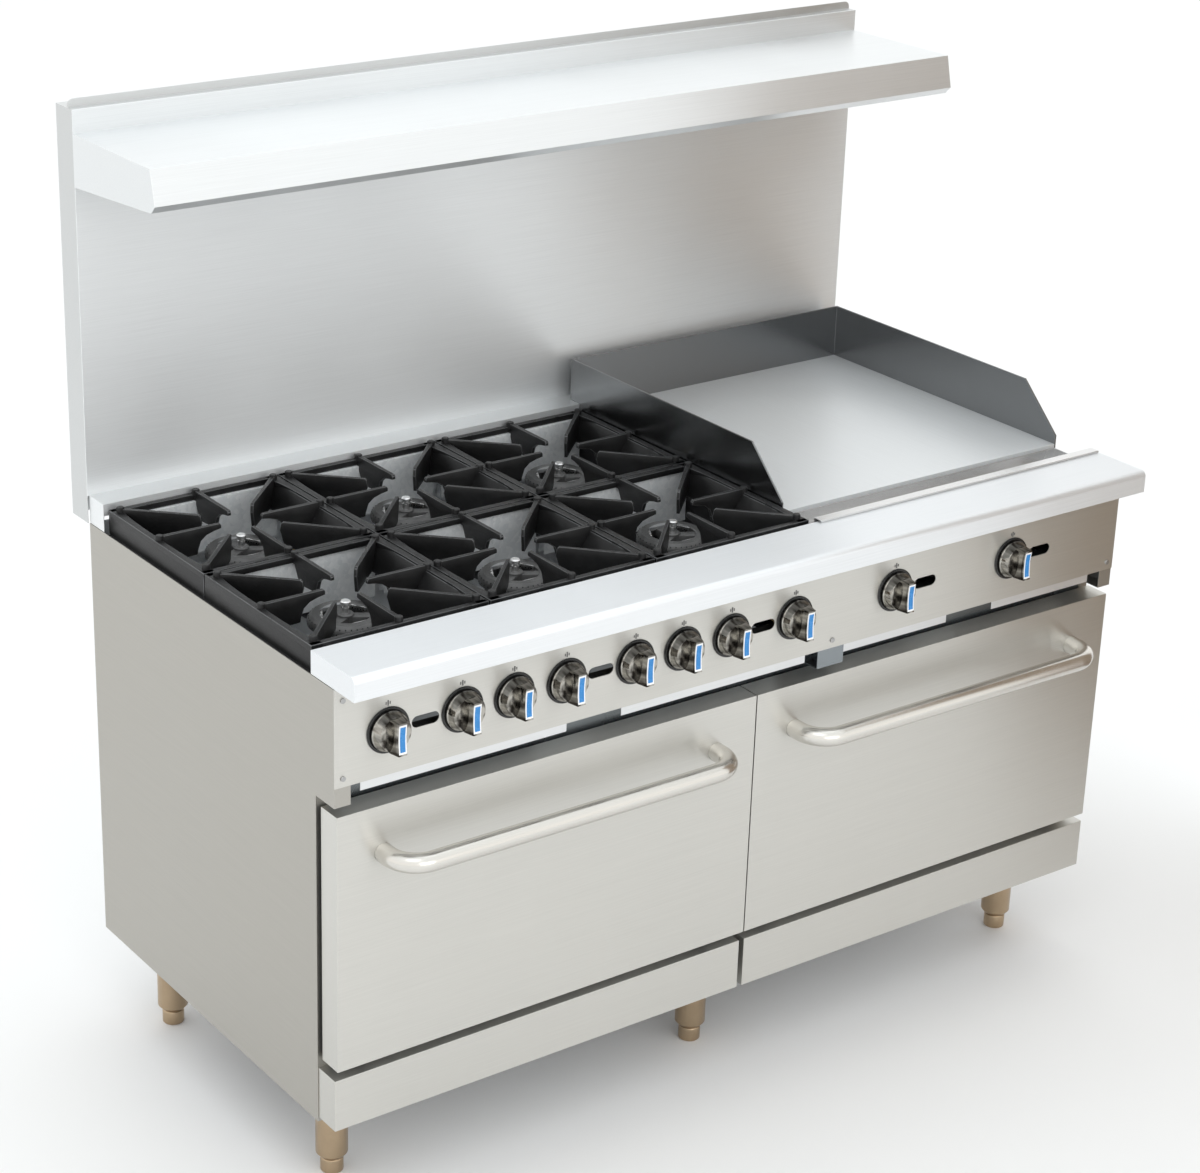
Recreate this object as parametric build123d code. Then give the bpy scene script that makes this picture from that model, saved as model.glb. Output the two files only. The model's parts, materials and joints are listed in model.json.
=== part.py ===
from build123d import *
import os

# A free-standing gas range: six open burners, a griddle, two ovens, a backguard with a shelf.
# Millimetres.  +X is to the right of someone facing the range, -Y is the front, +Z is up.
# The origin is on the floor, under the middle of the overall box.

# ---------------------------------------------------------------- overall sizes
WIDTH = 1524.0            # over the side panels
DEPTH = 862.0             # front of the door handles to the back of the riser
HEIGHT = 1544.0           # floor to the top of the riser
COOKTOP_HEIGHT = 910.0    # floor to the top of the grate rims and of the front ledge
LEG_HEIGHT = 150.0        # floor to the underside of the body

# ---------------------------------------------------------------- stock and clearances
SHEET = 1.5               # stainless sheet of the casing
LINER_SHEET = 1.2         # sheet of the oven cavities, door linings and shields
SPLASH_PLATE = 3.0
FLANGE = 20.0             # folded edge of a casing panel
CLEARANCE = 0.3           # between pieces that move past each other
RUNNING_CLEARANCE = 0.05  # radial, shaft in hole
SHADOW_GAP = 1.0          # between neighbouring folded panels

# ---------------------------------------------------------------- doors
DOOR_THICKNESS = 43.0
DOOR_SEAL_GAP = 7.0       # door back to the body front
DOOR_SIDE_GAP = 1.0       # half the gap between the two doors
DOOR_INSET = 4.0          # door edge in from the side panel
HANDLE_TUBE = 30.0
HANDLE_REACH = 60.0       # door face to the middle of the handle bar
HANDLE_END_INSET = 77.0   # door edge to the middle of the handle's end
HANDLE_DROP = 75.0        # door top to the handle's centre line
HANDLE_BEND = 45.0
HINGE_PIN = 8.0
HINGE_RISE = 12.0         # door bottom to the hinge axis
HINGE_INSET = 60.0        # door edge to the hinge bracket
BRACKET_PLATE = 4.0
EAR_PLATE = 3.0
EAR_RADIUS = 8.0
HINGE_ROOM = 4.0          # round the brackets in the door
BRACKET_FOOT = 24.0       # width of a bracket's foot
BRACKET_FOOT_HEIGHT = 28.0
EAR_LENGTH = 22.0         # hinge axis to the top of an ear
DOOR_PAN = 22.0           # depth of the door's inside pan
HANDLE_WALL = 2.0

# ---------------------------------------------------------------- front panels
LEDGE_DEPTH = 36.0        # height of the front ledge's face
LEDGE_OVERHANG = 52.0     # ledge front ahead of the control panel
LEDGE_BACKSET = 62.5      # ledge back behind the control panel's face
LEDGE_RADIUS = 9.0
PANEL_STEP = 1.5          # control panel face ahead of the door face
PANEL_HEIGHT = 152.0
PANEL_RETURN = 22.0
TAB_DROP = 31.0           # tabs below the control panel
TAB_WIDTH = 27.0
MIDDLE_TAB_X = 145.0
MIDDLE_TAB_WIDTH = 53.0
DOOR_TOP_DROP = 46.5      # control panel's lower edge to the top of the doors
KICK_RISE = 7.0           # body underside to the bottom of the kick panels
KICK_HEIGHT = 85.5
KICK_SETBACK = 4.0        # kick face behind the door face
KICK_GAP = 5.0            # half the gap between the kick panels
DOOR_KICK_GAP = 16.5

# ---------------------------------------------------------------- cooktop
GRATE_WIDTH = 298.5
GRATE_LENGTH = 303.5
GRATE_GAP = 3.0
GRATE_COLUMNS = 3
GRATE_ROWS = 2
GRATE_INSET = 8.0         # side panel to the first grate
GRATE_FRONT_GAP = 12.0    # ledge back to the first grate
GRATE_RIM = 12.0          # width of the side bars
GRATE_END_BAR = 10.0      # width of the front and rear bars
GRATE_RIM_DEPTH = 10.0
GRATE_SKIRT = 40.0        # depth of the side skirts
GRATE_WALL = 4.0
GRATE_SLOPE_FOOT = 34.0   # grate side to the foot of its sloping inner wall
GRATE_SLOPE_END = 19.0    # grate's front or rear to the sloping wall's end
GRATE_SLOPE_BITE = 2.0    # sloping wall up into the side bar
BLADE = 6.0               # thickness of a grate finger
BLADE_RISE = 8.0          # finger tops above the rim
SIDE_FINGER_TIP = 36.0    # middle of the grate to the tip of a side finger
CORNER_FINGER_TIP = 64.0  # middle of the grate to the tip of a corner finger
RAIL = 12.0
RAIL_HEIGHT = 25.0
COLUMN_RAIL = 14.0        # width of the rails between the grate columns
BURNER_STRAP = 12.0       # straps that carry the burners
BURNER_STRAP_HEIGHT = 6.0
BURNER_STRAP_SPREAD = 35.0  # burner's middle to its straps
GRIDDLE_STRAP_INSET = 90.0
DIVIDER_DROP = 50.0       # burner underside to the divider's lower edge
DIVIDER_PLATE = 2.0
SHIELD_DROP = 98.0        # cooktop height to the lower edge of the heat shields
BURNER_RADIUS = 46.0
BURNER_HEAD_RADIUS = 57.0
BURNER_BASE_DROP = 84.0   # cooktop height to the underside of the burner bowl
BURNER_BOWL = 26.0
BURNER_HEAD = 18.0        # height of the head's ring
HEAD_RING = 19.0          # width of the head's ring
HEAD_SHOULDER = 5.0
HEAD_ARM = 20.0
HEAD_HUB = 13.0
HEAD_POST = 5.5
HEAD_POST_RISE = 13.0     # head top to the top of the centre post
HEAD_POST_CAP = 8.0
HEAD_POST_CAP_HEIGHT = 6.0
HEAD_PORTS = 24
HEAD_PORT = 2.0
BOWL_FLOOR = 6.0
BOWL_WALL = 5.0
VENTURI = 26.0
VENTURI_WALL = 4.0
VENTURI_COLLAR = 10.0     # length of the thick ring at the mouth
VENTURI_BELL = 24.0       # depth of the open mouth
VENTURI_BEND = 110.0      # burner's middle to the bend ahead of it
SPUD = 12.0               # orifice fitting on a valve
SPUD_REACH = 14.0
VALVE_TAIL = 16.0         # valve axis to the back of its body
THERMOSTAT_TAIL = 34.0
PILOT_OUT = 12.0          # burner head's edge to the pilot
PILOT_FORWARD = 35.0
PILOT_TUBE = 6.0
PILOT_HOOD = 12.0
PILOT_HEIGHT = 40.0
PILOT_HOOD_HEIGHT = 10.0
VENTURI_MOUTH = 36.0      # valve axis to the burner tube's mouth
ELBOW_BULGE = 2.0         # radius of a bend beyond its pipe's
VALVE_DROP = 119.0        # cooktop height to the valve and knob axes
MANIFOLD = 26.7           # three-quarter inch pipe
MANIFOLD_BORE = 21.0
MANIFOLD_DROP = 34.0      # valve axis to the manifold's axis
VALVE_SETBACK = 35.5      # control panel face to the valve and manifold axis
VALVE_SIZE = 24.0
VALVE_FRONT = 16.0        # valve axis to the front of its body
VALVE_NOSE = 12.0         # boss round the stem, ahead of the body
VALVE_BOSS = 9.0
VALVE_FOOT = 4.0
STEM_SEAT = 10.0          # depth of the stem's bore in the body
INLET_INSET = 62.0        # side panel to the gas inlet's axis
INLET_STICK_OUT = 35.0    # gas inlet beyond the body's back
INLET_COLLAR = 6.0        # collar on the inlet, behind the body's back
INLET_COLLAR_EDGE = 7.0   # collar beyond the pipe
MANIFOLD_END = 40.0       # first valve to the manifold's plugged end
MANIFOLD_PLUG = 6.0
MANIFOLD_PLUG_EDGE = 3.0
STEM_ROOM = 2.0           # round a stem where it passes the panel and bezel

# ---------------------------------------------------------------- knobs
KNOB_SKIRT = 62.0
KNOB_FACE = 53.0
KNOB_SKIRT_DEPTH = 17.0
KNOB_GRIP_DEPTH = 20.0
KNOB_GRIP_BASE = 22.0
KNOB_GRIP_EDGE = 14.0
KNOB_INSERT = 1.0
KNOB_INSERT_EDGE = 2.0    # grip's side to the insert
KNOB_INSERT_END = 6.0     # grip's end to the insert
BEZEL = 71.0
BEZEL_THICKNESS = 3.0
STEM = 8.0
KNOB_PAIR = 125.0         # between the two knobs of one burner column
KNOB_INSET = 150.0        # side panel to the middle of the first knob pair
KNOB_PITCH = 307.0        # between the middles of neighbouring knob pairs
THERMOSTAT_OFFSET = 152.0  # middle of a knob pair to the oven knob beside it
GRIDDLE_KNOB_INSET = 119.5
GRIDDLE_KNOB_SPACING = 251.0
SIGHT_SLOT = 46.0
SIGHT_SLOT_HEIGHT = 18.0
SIGHT_SLOT_OFFSET = 64.0  # griddle knob to its sight slot

# ---------------------------------------------------------------- griddle
GRIDDLE_PLATE = 19.0
GRIDDLE_BURNER_SETBACK = 55.0
GRIDDLE_BURNER_BACK_GAP = 40.0
GRIDDLE_DROP = 10.0       # cooktop height to the griddle's cooking face
SPLASH_RISE = 83.0        # splash top above the cooktop height
SPLASH_SLOPE = 82.0       # length of the sloping front of the side splash
SPLASH_NOSE = 5.0         # side splash above the cooktop at its front end
GRIDDLE_SIDE_GAP = 10.0
GRIDDLE_BACK_GAP = 20.0
GUTTER_WIDTH = 70.0
GUTTER_HOOK = 16.0        # hook over the front ledge
GUTTER_HOOK_RISE = 4.0
GUTTER_TO_GRIDDLE = 11.0  # beyond the gutter's width, ledge back to the griddle
GUTTER_SIDE_GAP = 4.0
GUTTER_FLOOR_RISE = 1.5   # above the lower edge of the grate skirts
GUTTER_TOP_DROP = 6.0     # cooking face to the gutter's rim
GUTTER_FRONT_GAP = 7.0

# ---------------------------------------------------------------- backguard and shelf
RISER_DEPTH = 53.0
RISER_LIP = 13.0          # lip standing above the riser's box
RISER_LIP_SETBACK = 14.0
RISER_LIP_CORNER = 10.0
RISER_VENTS = 6
RISER_VENT_MARGIN = 5.0   # lip or edge to the vents
BACKGUARD_OVERHANG = 3.0  # backguard beyond the side panel
DECK_RISE = 10.0          # rear deck above the cooktop height
SHELF_DROP = 49.0         # riser top to the shelf
SHELF_DEPTH = 243.0
SHELF_LIP = 53.0
SHELF_LIP_LEAN = 13.0
SHELF_HEM = 12.0
SHELF_UPSTAND = 36.0
SHELF_GUSSET = 82.0       # depth of the end gusset at the wall

# ---------------------------------------------------------------- ovens
OVEN_WIDTH = 670.0
OVEN_LENGTH = 655.0
OVEN_SILL = 41.0          # door bottom to the oven floor
OVEN_HEAD = 20.0          # oven roof below the door top
OVEN_BURNER_SPACE = 38.0
OVEN_BURNER = 32.0
OVEN_BURNER_WALL = 4.0
OVEN_BURNER_MOUTH = 40.0  # depth of its open front end
OVEN_BURNER_FRONT = 30.0  # face frame to the burner
OVEN_BURNER_BACK = 60.0
OVEN_FLOOR_BACK = 12.0    # oven back to the lift-out floor
OVEN_FLOOR_EDGE = 2.0     # all round the lift-out floor
GUIDE_WIRE = 6.0
GUIDE_STANDOFF = 10.0     # oven wall to the guide wires
GUIDE_PITCH = 90.0
GUIDE_END = 60.0          # guide end to its upright
GUIDE_TAIL = 30.0         # upright beyond the outer guide wires
RACK_INSET = 2.0          # rack's side bar inside the guide wire
RACK_HEIGHT = 165.0       # oven floor to the rack's guide wire
RACK_WIRE = 4.0
RACK_FRAME = 7.0
RACK_SETBACK = 20.0
RACK_LENGTH = 600.0
RACK_WIRES = 17
GUIDE_BACK = 30.0         # oven back to the rear ends of the guides

# ---------------------------------------------------------------- crumb trays
TRAY_DEPTH = 17.0
TRAY_SETBACK = 8.5        # tray front behind the control panel's face
TRAY_LENGTH = 670.0
TRAY_END_GAP = 20.0       # tab to the tray's end
TRAY_NOTCH = 100.0
TRAY_NOTCH_HEIGHT = 13.0
RUNNER_REACH = 10.0       # runner under the tray's end
RUNNER_GAP = 3.0          # tray's end to the runner's wall
TRAY_LIP_REACH = 45.0     # tray front to its pan, room for the fingers

# ---------------------------------------------------------------- base and legs
BASE_RAIL = 40.0
BASE_CHANNEL = 2.5
BASE_EDGE_RAIL = 30.0     # width of the rails round the base
BASE_LEG_RAIL = 90.0      # width of the rails over the legs
VENT_COLUMNS = 7          # cooling slots in the rear panel
VENT_ROWS = 3
VENT_WIDTH = 120.0
VENT_HEIGHT = 8.0
VENT_PITCH = 24.0
VENT_RISE = 60.0          # body underside to the lowest slots
INLET_ROOM = 3.0          # round the inlet where it leaves the body
LEG_TUBE = 50.0
LEG_WALL = 2.0
LEG_INSET = 68.0          # side panel to the outer legs' axes
LEG_FRONT_SETBACK = 74.0
LEG_BACK_SETBACK = 102.0
FOOT = 36.0
FOOT_HEIGHT = 26.0
FOOT_STEM = 16.0
FOOT_CHAMFER = 2.0
LEG_PLATE = 3.0
LEG_PLATE_SIZE = 80.0
LEG_TAPER = 6.0           # height of the leg tube's tapered end
LEG_TAPER_STEP = 5.0
FOOT_GAP = 2.0            # foot to the leg tube

# ---------------------------------------------------------------- places worked out from the sizes
HALF = WIDTH / 2
INNER = HALF - SHEET
DOOR_FACE_Y = -DEPTH / 2 + HANDLE_TUBE / 2 + HANDLE_REACH
DOOR_BACK_Y = DOOR_FACE_Y + DOOR_THICKNESS
BODY_FRONT_Y = DOOR_BACK_Y + DOOR_SEAL_GAP
BODY_BACK_Y = DEPTH / 2 - RISER_DEPTH
PANEL_FACE_Y = DOOR_FACE_Y - PANEL_STEP
PANEL_BACK_Y = PANEL_FACE_Y + SHEET
LEDGE_FRONT_Y = PANEL_FACE_Y - LEDGE_OVERHANG
LEDGE_BACK_Y = PANEL_FACE_Y + LEDGE_BACKSET
KICK_FACE_Y = DOOR_FACE_Y + KICK_SETBACK
FRAME_FRONT_Y = BODY_FRONT_Y + SHEET
FRAME_BACK_Y = FRAME_FRONT_Y + SHEET
REAR_SHEET_Y = BODY_BACK_Y - SHEET

PANEL_TOP = COOKTOP_HEIGHT - LEDGE_DEPTH - SHADOW_GAP
PANEL_BOTTOM = PANEL_TOP - PANEL_HEIGHT
TAB_BOTTOM = PANEL_BOTTOM - TAB_DROP
DOOR_TOP = PANEL_BOTTOM - DOOR_TOP_DROP
KICK_BOTTOM = LEG_HEIGHT + KICK_RISE
KICK_TOP = KICK_BOTTOM + KICK_HEIGHT
DOOR_BOTTOM = KICK_TOP + DOOR_KICK_GAP
OVEN_FLOOR = DOOR_BOTTOM + OVEN_SILL
OVEN_ROOF = DOOR_TOP - OVEN_HEAD
KNOB_Z = COOKTOP_HEIGHT - VALVE_DROP
VALVE_Y = PANEL_FACE_Y + VALVE_SETBACK
MANIFOLD_Z = KNOB_Z - MANIFOLD_DROP
TRAY_TOP = PANEL_BOTTOM - SHADOW_GAP
TRAY_BOTTOM = TRAY_TOP - TRAY_DEPTH
HINGE_Y = DOOR_FACE_Y + DOOR_THICKNESS / 2
HINGE_Z = DOOR_BOTTOM + HINGE_RISE

GRATES_LEFT = -HALF + GRATE_INSET
GRATE_PITCH_X = GRATE_WIDTH + GRATE_GAP
GRATE_PITCH_Y = GRATE_LENGTH + GRATE_GAP
GRATES_RIGHT = GRATES_LEFT + GRATE_COLUMNS * GRATE_PITCH_X - GRATE_GAP
GRATES_FRONT = LEDGE_BACK_Y + GRATE_FRONT_GAP
GRATES_BACK = GRATES_FRONT + GRATE_ROWS * GRATE_PITCH_Y - GRATE_GAP
COLUMN_X = [GRATES_LEFT + GRATE_WIDTH / 2 + i * GRATE_PITCH_X for i in range(GRATE_COLUMNS)]
ROW_Y = [GRATES_FRONT + GRATE_LENGTH / 2 + i * GRATE_PITCH_Y for i in range(GRATE_ROWS)]
SKIRT_BOTTOM = COOKTOP_HEIGHT - GRATE_SKIRT
RIM_BOTTOM = COOKTOP_HEIGHT - GRATE_RIM_DEPTH
RAIL_TOP = SKIRT_BOTTOM - CLEARANCE
RAIL_BOTTOM = RAIL_TOP - RAIL_HEIGHT
SHIELD_TOP = RIM_BOTTOM - CLEARANCE
SHIELD_HALF = RAIL / 2 + CLEARANCE + LINER_SHEET
SHIELD_BOTTOM = COOKTOP_HEIGHT - SHIELD_DROP
NOTCH_HALF = GRATE_WALL + GRATE_GAP / 2 + 2.0
CROSS_RAIL_Y = [
    GRATES_FRONT + SHIELD_HALF,
    GRATES_FRONT + GRATE_LENGTH + GRATE_GAP / 2,
    GRATES_BACK - SHIELD_HALF,
]
COLUMN_EDGE_X = [GRATES_LEFT + i * GRATE_PITCH_X - GRATE_GAP / 2 for i in range(GRATE_COLUMNS + 1)]
BURNER_BASE = COOKTOP_HEIGHT - BURNER_BASE_DROP

GRIDDLE_LEFT = GRATES_RIGHT + GRATE_GAP
GRIDDLE_RIGHT = HALF - GRIDDLE_SIDE_GAP
GRIDDLE_BACK = REAR_SHEET_Y - GRIDDLE_BACK_GAP
GRIDDLE_FRONT = LEDGE_BACK_Y + GUTTER_WIDTH + GUTTER_TO_GRIDDLE
GRIDDLE_TOP = COOKTOP_HEIGHT - GRIDDLE_DROP
DIVIDER_X = GRIDDLE_LEFT

BACKGUARD_HALF = HALF + BACKGUARD_OVERHANG
DECK_TOP = COOKTOP_HEIGHT + DECK_RISE
SHELF_TOP = HEIGHT - SHELF_DROP
RISER_TOP = HEIGHT - RISER_LIP

KNOB_PAIR_X = [-HALF + KNOB_INSET + i * KNOB_PITCH for i in range(GRATE_COLUMNS)]
KNOB_SPOTS = []
for pair_x in KNOB_PAIR_X:
    KNOB_SPOTS.append((pair_x - KNOB_PAIR / 2, "burner"))
    KNOB_SPOTS.append((pair_x + KNOB_PAIR / 2, "burner"))
for pair_x in KNOB_PAIR_X[:-1]:
    KNOB_SPOTS.append((pair_x + THERMOSTAT_OFFSET, "oven"))
for step in range(2):
    KNOB_SPOTS.append((GRIDDLE_LEFT + GRIDDLE_KNOB_INSET + step * GRIDDLE_KNOB_SPACING, "griddle"))
KNOB_SPOTS.sort()
GRIDDLE_KNOB_X = [x for x, use in KNOB_SPOTS if use == "griddle"]
SIGHT_SLOT_X = KNOB_PAIR_X + [x + SIGHT_SLOT_OFFSET for x in GRIDDLE_KNOB_X]
SCREW_SPOTS = [
    (-HALF + TAB_WIDTH / 2, PANEL_TOP - TAB_WIDTH * 0.7),
    (-HALF + TAB_WIDTH / 2, PANEL_BOTTOM + TAB_WIDTH / 2),
    (MIDDLE_TAB_X, PANEL_BOTTOM + TAB_WIDTH / 2),
    (HALF - TAB_WIDTH / 2, PANEL_BOTTOM + TAB_WIDTH / 2),
    (HALF - TAB_WIDTH / 2, PANEL_TOP - TAB_WIDTH * 0.7),
]
SCREW_SHANK = 4.0
SCREW_HEAD = 8.0
SCREW_HEAD_DEPTH = 2.2

OVEN_X = {"left": -HALF / 2, "right": HALF / 2}
LEG_X = [-HALF + LEG_INSET, 0.0, HALF - LEG_INSET]
LEG_Y = [BODY_FRONT_Y + LEG_FRONT_SETBACK, BODY_BACK_Y - LEG_BACK_SETBACK]


# ---------------------------------------------------------------- basic shapes
def block(x_range, y_range, z_range):
    """A box given by its low and high ends along each axis."""
    ranges = (x_range, y_range, z_range)
    middle = [(low + high) / 2 for low, high in ranges]
    size = [high - low for low, high in ranges]
    return Pos(*middle) * Box(*size)


def rod(start, end, radius):
    """A straight round bar between two points."""
    direction = Vector(*end) - Vector(*start)
    return extrude(Plane(origin=start, z_dir=direction) * Circle(radius), amount=direction.length)


def side_outline(points, x_range):
    """An outline in the side view, (y, z) points, extruded across the width."""
    plane = Plane(origin=(x_range[0], 0, 0), x_dir=(0, 1, 0), z_dir=(1, 0, 0))
    return extrude(plane * make_face(Polyline(*points, close=True)), amount=x_range[1] - x_range[0])


def ball(centre, radius):
    return Pos(*centre) * Sphere(radius)


def fuse(shapes):
    first, *rest = shapes
    return first + rest if rest else first


def channel(x_range, y_range, z_range, wall):
    """A folded channel, open on top, with closed ends."""
    trough = block(
        (x_range[0] + wall, x_range[1] - wall),
        (y_range[0] + wall, y_range[1] - wall),
        (z_range[0] + wall, z_range[1] + wall),
    )
    return block(x_range, y_range, z_range) - trough


# ---------------------------------------------------------------- casing
def side_panel_right():
    outline = [
        (BODY_FRONT_Y, LEG_HEIGHT),
        (BODY_BACK_Y, LEG_HEIGHT),
        (BODY_BACK_Y, PANEL_TOP),
        (PANEL_BACK_Y, PANEL_TOP),
        (PANEL_BACK_Y, TAB_BOTTOM),
        (BODY_FRONT_Y, TAB_BOTTOM),
    ]
    skin = side_outline(outline, (INNER, HALF))
    front = block((HALF - FLANGE, HALF), (BODY_FRONT_Y, FRAME_FRONT_Y), (LEG_HEIGHT, TAB_BOTTOM + SHEET))
    tab = block((HALF - TAB_WIDTH, HALF), (PANEL_BACK_Y, PANEL_BACK_Y + SHEET), (TAB_BOTTOM, PANEL_TOP))
    shelf = block((HALF - TAB_WIDTH, HALF), (PANEL_BACK_Y, FRAME_FRONT_Y), (TAB_BOTTOM, TAB_BOTTOM + SHEET))
    rear = block((HALF - FLANGE, HALF), (REAR_SHEET_Y - SHEET, REAR_SHEET_Y), (LEG_HEIGHT, PANEL_TOP))
    return skin + [front, tab, shelf, rear] - screw_holes()


def side_panel_left():
    return mirror(side_panel_right(), about=Plane.YZ)


def screw_holes():
    depth = 3 * SHEET
    return [
        rod((x, PANEL_FACE_Y - SHEET, z), (x, PANEL_FACE_Y + depth, z), SCREW_SHANK / 2 + RUNNING_CLEARANCE)
        for x, z in SCREW_SPOTS
    ]


def rear_panel():
    sheet = block((-INNER, INNER), (REAR_SHEET_Y, BODY_BACK_Y), (LEG_HEIGHT, PANEL_TOP))
    through = (REAR_SHEET_Y - SHEET, BODY_BACK_Y + SHEET)
    inlet_x = HALF - INLET_INSET
    inlet = rod((inlet_x, through[0], MANIFOLD_Z), (inlet_x, through[1], MANIFOLD_Z), MANIFOLD / 2 + INLET_ROOM)
    slots = []
    for column in range(VENT_COLUMNS):
        x = -HALF + (column + 1) * WIDTH / (VENT_COLUMNS + 1)
        for row in range(VENT_ROWS):
            z = LEG_HEIGHT + VENT_RISE + row * VENT_PITCH
            slots.append(block((x - VENT_WIDTH / 2, x + VENT_WIDTH / 2), through, (z, z + VENT_HEIGHT)))
    return sheet - [inlet] - slots


def base_frame():
    z_range = (LEG_HEIGHT, LEG_HEIGHT + BASE_RAIL)
    front, back = FRAME_BACK_Y, REAR_SHEET_Y - SHEET
    rails = [
        channel((-INNER, INNER), (front, front + BASE_EDGE_RAIL), z_range, BASE_CHANNEL),
        channel((-INNER, INNER), (back - BASE_EDGE_RAIL, back), z_range, BASE_CHANNEL),
        channel((-INNER, -INNER + BASE_EDGE_RAIL), (front, back), z_range, BASE_CHANNEL),
        channel((INNER - BASE_EDGE_RAIL, INNER), (front, back), z_range, BASE_CHANNEL),
    ]
    for y in LEG_Y:
        rails.append(channel((-INNER, INNER), (y - BASE_LEG_RAIL / 2, y + BASE_LEG_RAIL / 2), z_range, BASE_CHANNEL))
    return fuse(rails)


def oven_opening(side):
    x = OVEN_X[side]
    return block((x - OVEN_WIDTH / 2, x + OVEN_WIDTH / 2), (BODY_FRONT_Y - SHEET, FRAME_BACK_Y + SHEET),
                 (OVEN_FLOOR, OVEN_ROOF))


def middle_tab_range():
    return (MIDDLE_TAB_X - MIDDLE_TAB_WIDTH / 2, MIDDLE_TAB_X + MIDDLE_TAB_WIDTH / 2)


def oven_face_frame():
    top = TRAY_BOTTOM - SHADOW_GAP
    sheet = block((-INNER, INNER), (FRAME_FRONT_Y, FRAME_BACK_Y), (LEG_HEIGHT, top))
    sheet -= [oven_opening(side) for side in OVEN_X]
    post = block((-FLANGE, FLANGE), (BODY_FRONT_Y, FRAME_FRONT_Y), (LEG_HEIGHT, TAB_BOTTOM))
    tab_x = middle_tab_range()
    tab_top = PANEL_BOTTOM + TAB_WIDTH
    tab = block(tab_x, (PANEL_BACK_Y, PANEL_BACK_Y + SHEET), (TAB_BOTTOM, tab_top))
    arm = block(tab_x, (PANEL_BACK_Y, FRAME_BACK_Y), (TAB_BOTTOM, TAB_BOTTOM + SHEET))
    return sheet + [post, tab, arm] - screw_holes()


def control_panel():
    face = block((-HALF, HALF), (PANEL_FACE_Y, PANEL_BACK_Y), (PANEL_BOTTOM, PANEL_TOP))
    side_end = HALF - TAB_WIDTH - SHADOW_GAP
    tab_x = middle_tab_range()
    return_y = (PANEL_FACE_Y, PANEL_FACE_Y + PANEL_RETURN)
    lower = [
        block((-side_end, tab_x[0] - SHADOW_GAP), return_y, (PANEL_BOTTOM, PANEL_BOTTOM + SHEET)),
        block((tab_x[1] + SHADOW_GAP, side_end), return_y, (PANEL_BOTTOM, PANEL_BOTTOM + SHEET)),
    ]
    upper = block((-side_end, side_end), return_y, (PANEL_TOP - SHEET, PANEL_TOP))
    holes = [
        rod((x, PANEL_FACE_Y - SHEET, KNOB_Z), (x, PANEL_BACK_Y + SHEET, KNOB_Z), STEM / 2 + STEM_ROOM)
        for x, use in KNOB_SPOTS
    ]
    slot_plane = Plane(origin=(0, PANEL_BACK_Y + SHEET, 0), x_dir=(1, 0, 0), z_dir=(0, -1, 0))
    slots = [
        extrude(slot_plane * Pos(x, KNOB_Z) * SlotOverall(SIGHT_SLOT, SIGHT_SLOT_HEIGHT), amount=3 * SHEET)
        for x in SIGHT_SLOT_X
    ]
    return face + lower + [upper] - holes - slots - screw_holes()


def knob_bezels():
    back, front = PANEL_FACE_Y, PANEL_FACE_Y - BEZEL_THICKNESS
    hole = rod((0, back + 1, 0), (0, front - 1, 0), STEM / 2 + STEM_ROOM)
    ring = rod((0, back, 0), (0, front, 0), BEZEL / 2) - hole
    return [Pos(x, 0, KNOB_Z) * ring for x, use in KNOB_SPOTS]


def panel_screws():
    screws = []
    for x, z in SCREW_SPOTS:
        head = rod((x, PANEL_FACE_Y, z), (x, PANEL_FACE_Y - SCREW_HEAD_DEPTH, z), SCREW_HEAD / 2)
        shank = rod((x, PANEL_FACE_Y, z), (x, PANEL_FACE_Y + 2 * SHEET, z), SCREW_SHANK / 2)
        screws.append(head + shank)
    return screws


def bullnose_ledge():
    bottom = COOKTOP_HEIGHT - LEDGE_DEPTH
    solid = block((-HALF, HALF), (LEDGE_FRONT_Y, LEDGE_BACK_Y), (bottom, COOKTOP_HEIGHT))
    front_edge = solid.edges().filter_by(Axis.X).group_by(Axis.Z)[-1].sort_by(Axis.Y)[0]
    solid = fillet(front_edge, LEDGE_RADIUS)
    inside = block((-INNER, INNER), (LEDGE_FRONT_Y + SHEET, LEDGE_BACK_Y - SHEET),
                   (bottom + SHEET, COOKTOP_HEIGHT - SHEET))
    inner_edge = inside.edges().filter_by(Axis.X).group_by(Axis.Z)[-1].sort_by(Axis.Y)[0]
    inside = fillet(inner_edge, LEDGE_RADIUS - SHEET)
    below = block((-INNER, INNER), (PANEL_FACE_Y + PANEL_RETURN, LEDGE_BACK_Y - SHEET),
                  (bottom - SHEET, bottom + 2 * SHEET))
    return solid - [inside, below]


def kick_panels():
    panels = []
    for side in (-1, 1):
        ends = sorted((side * KICK_GAP, side * (HALF - SHEET)))
        outer = block(ends, (KICK_FACE_Y, BODY_FRONT_Y), (KICK_BOTTOM, KICK_TOP))
        inner = block((ends[0] + SHEET, ends[1] - SHEET), (KICK_FACE_Y + SHEET, BODY_FRONT_Y + SHEET),
                      (KICK_BOTTOM - SHEET, KICK_TOP - SHEET))
        panels.append(outer - inner)
    return panels


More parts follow.
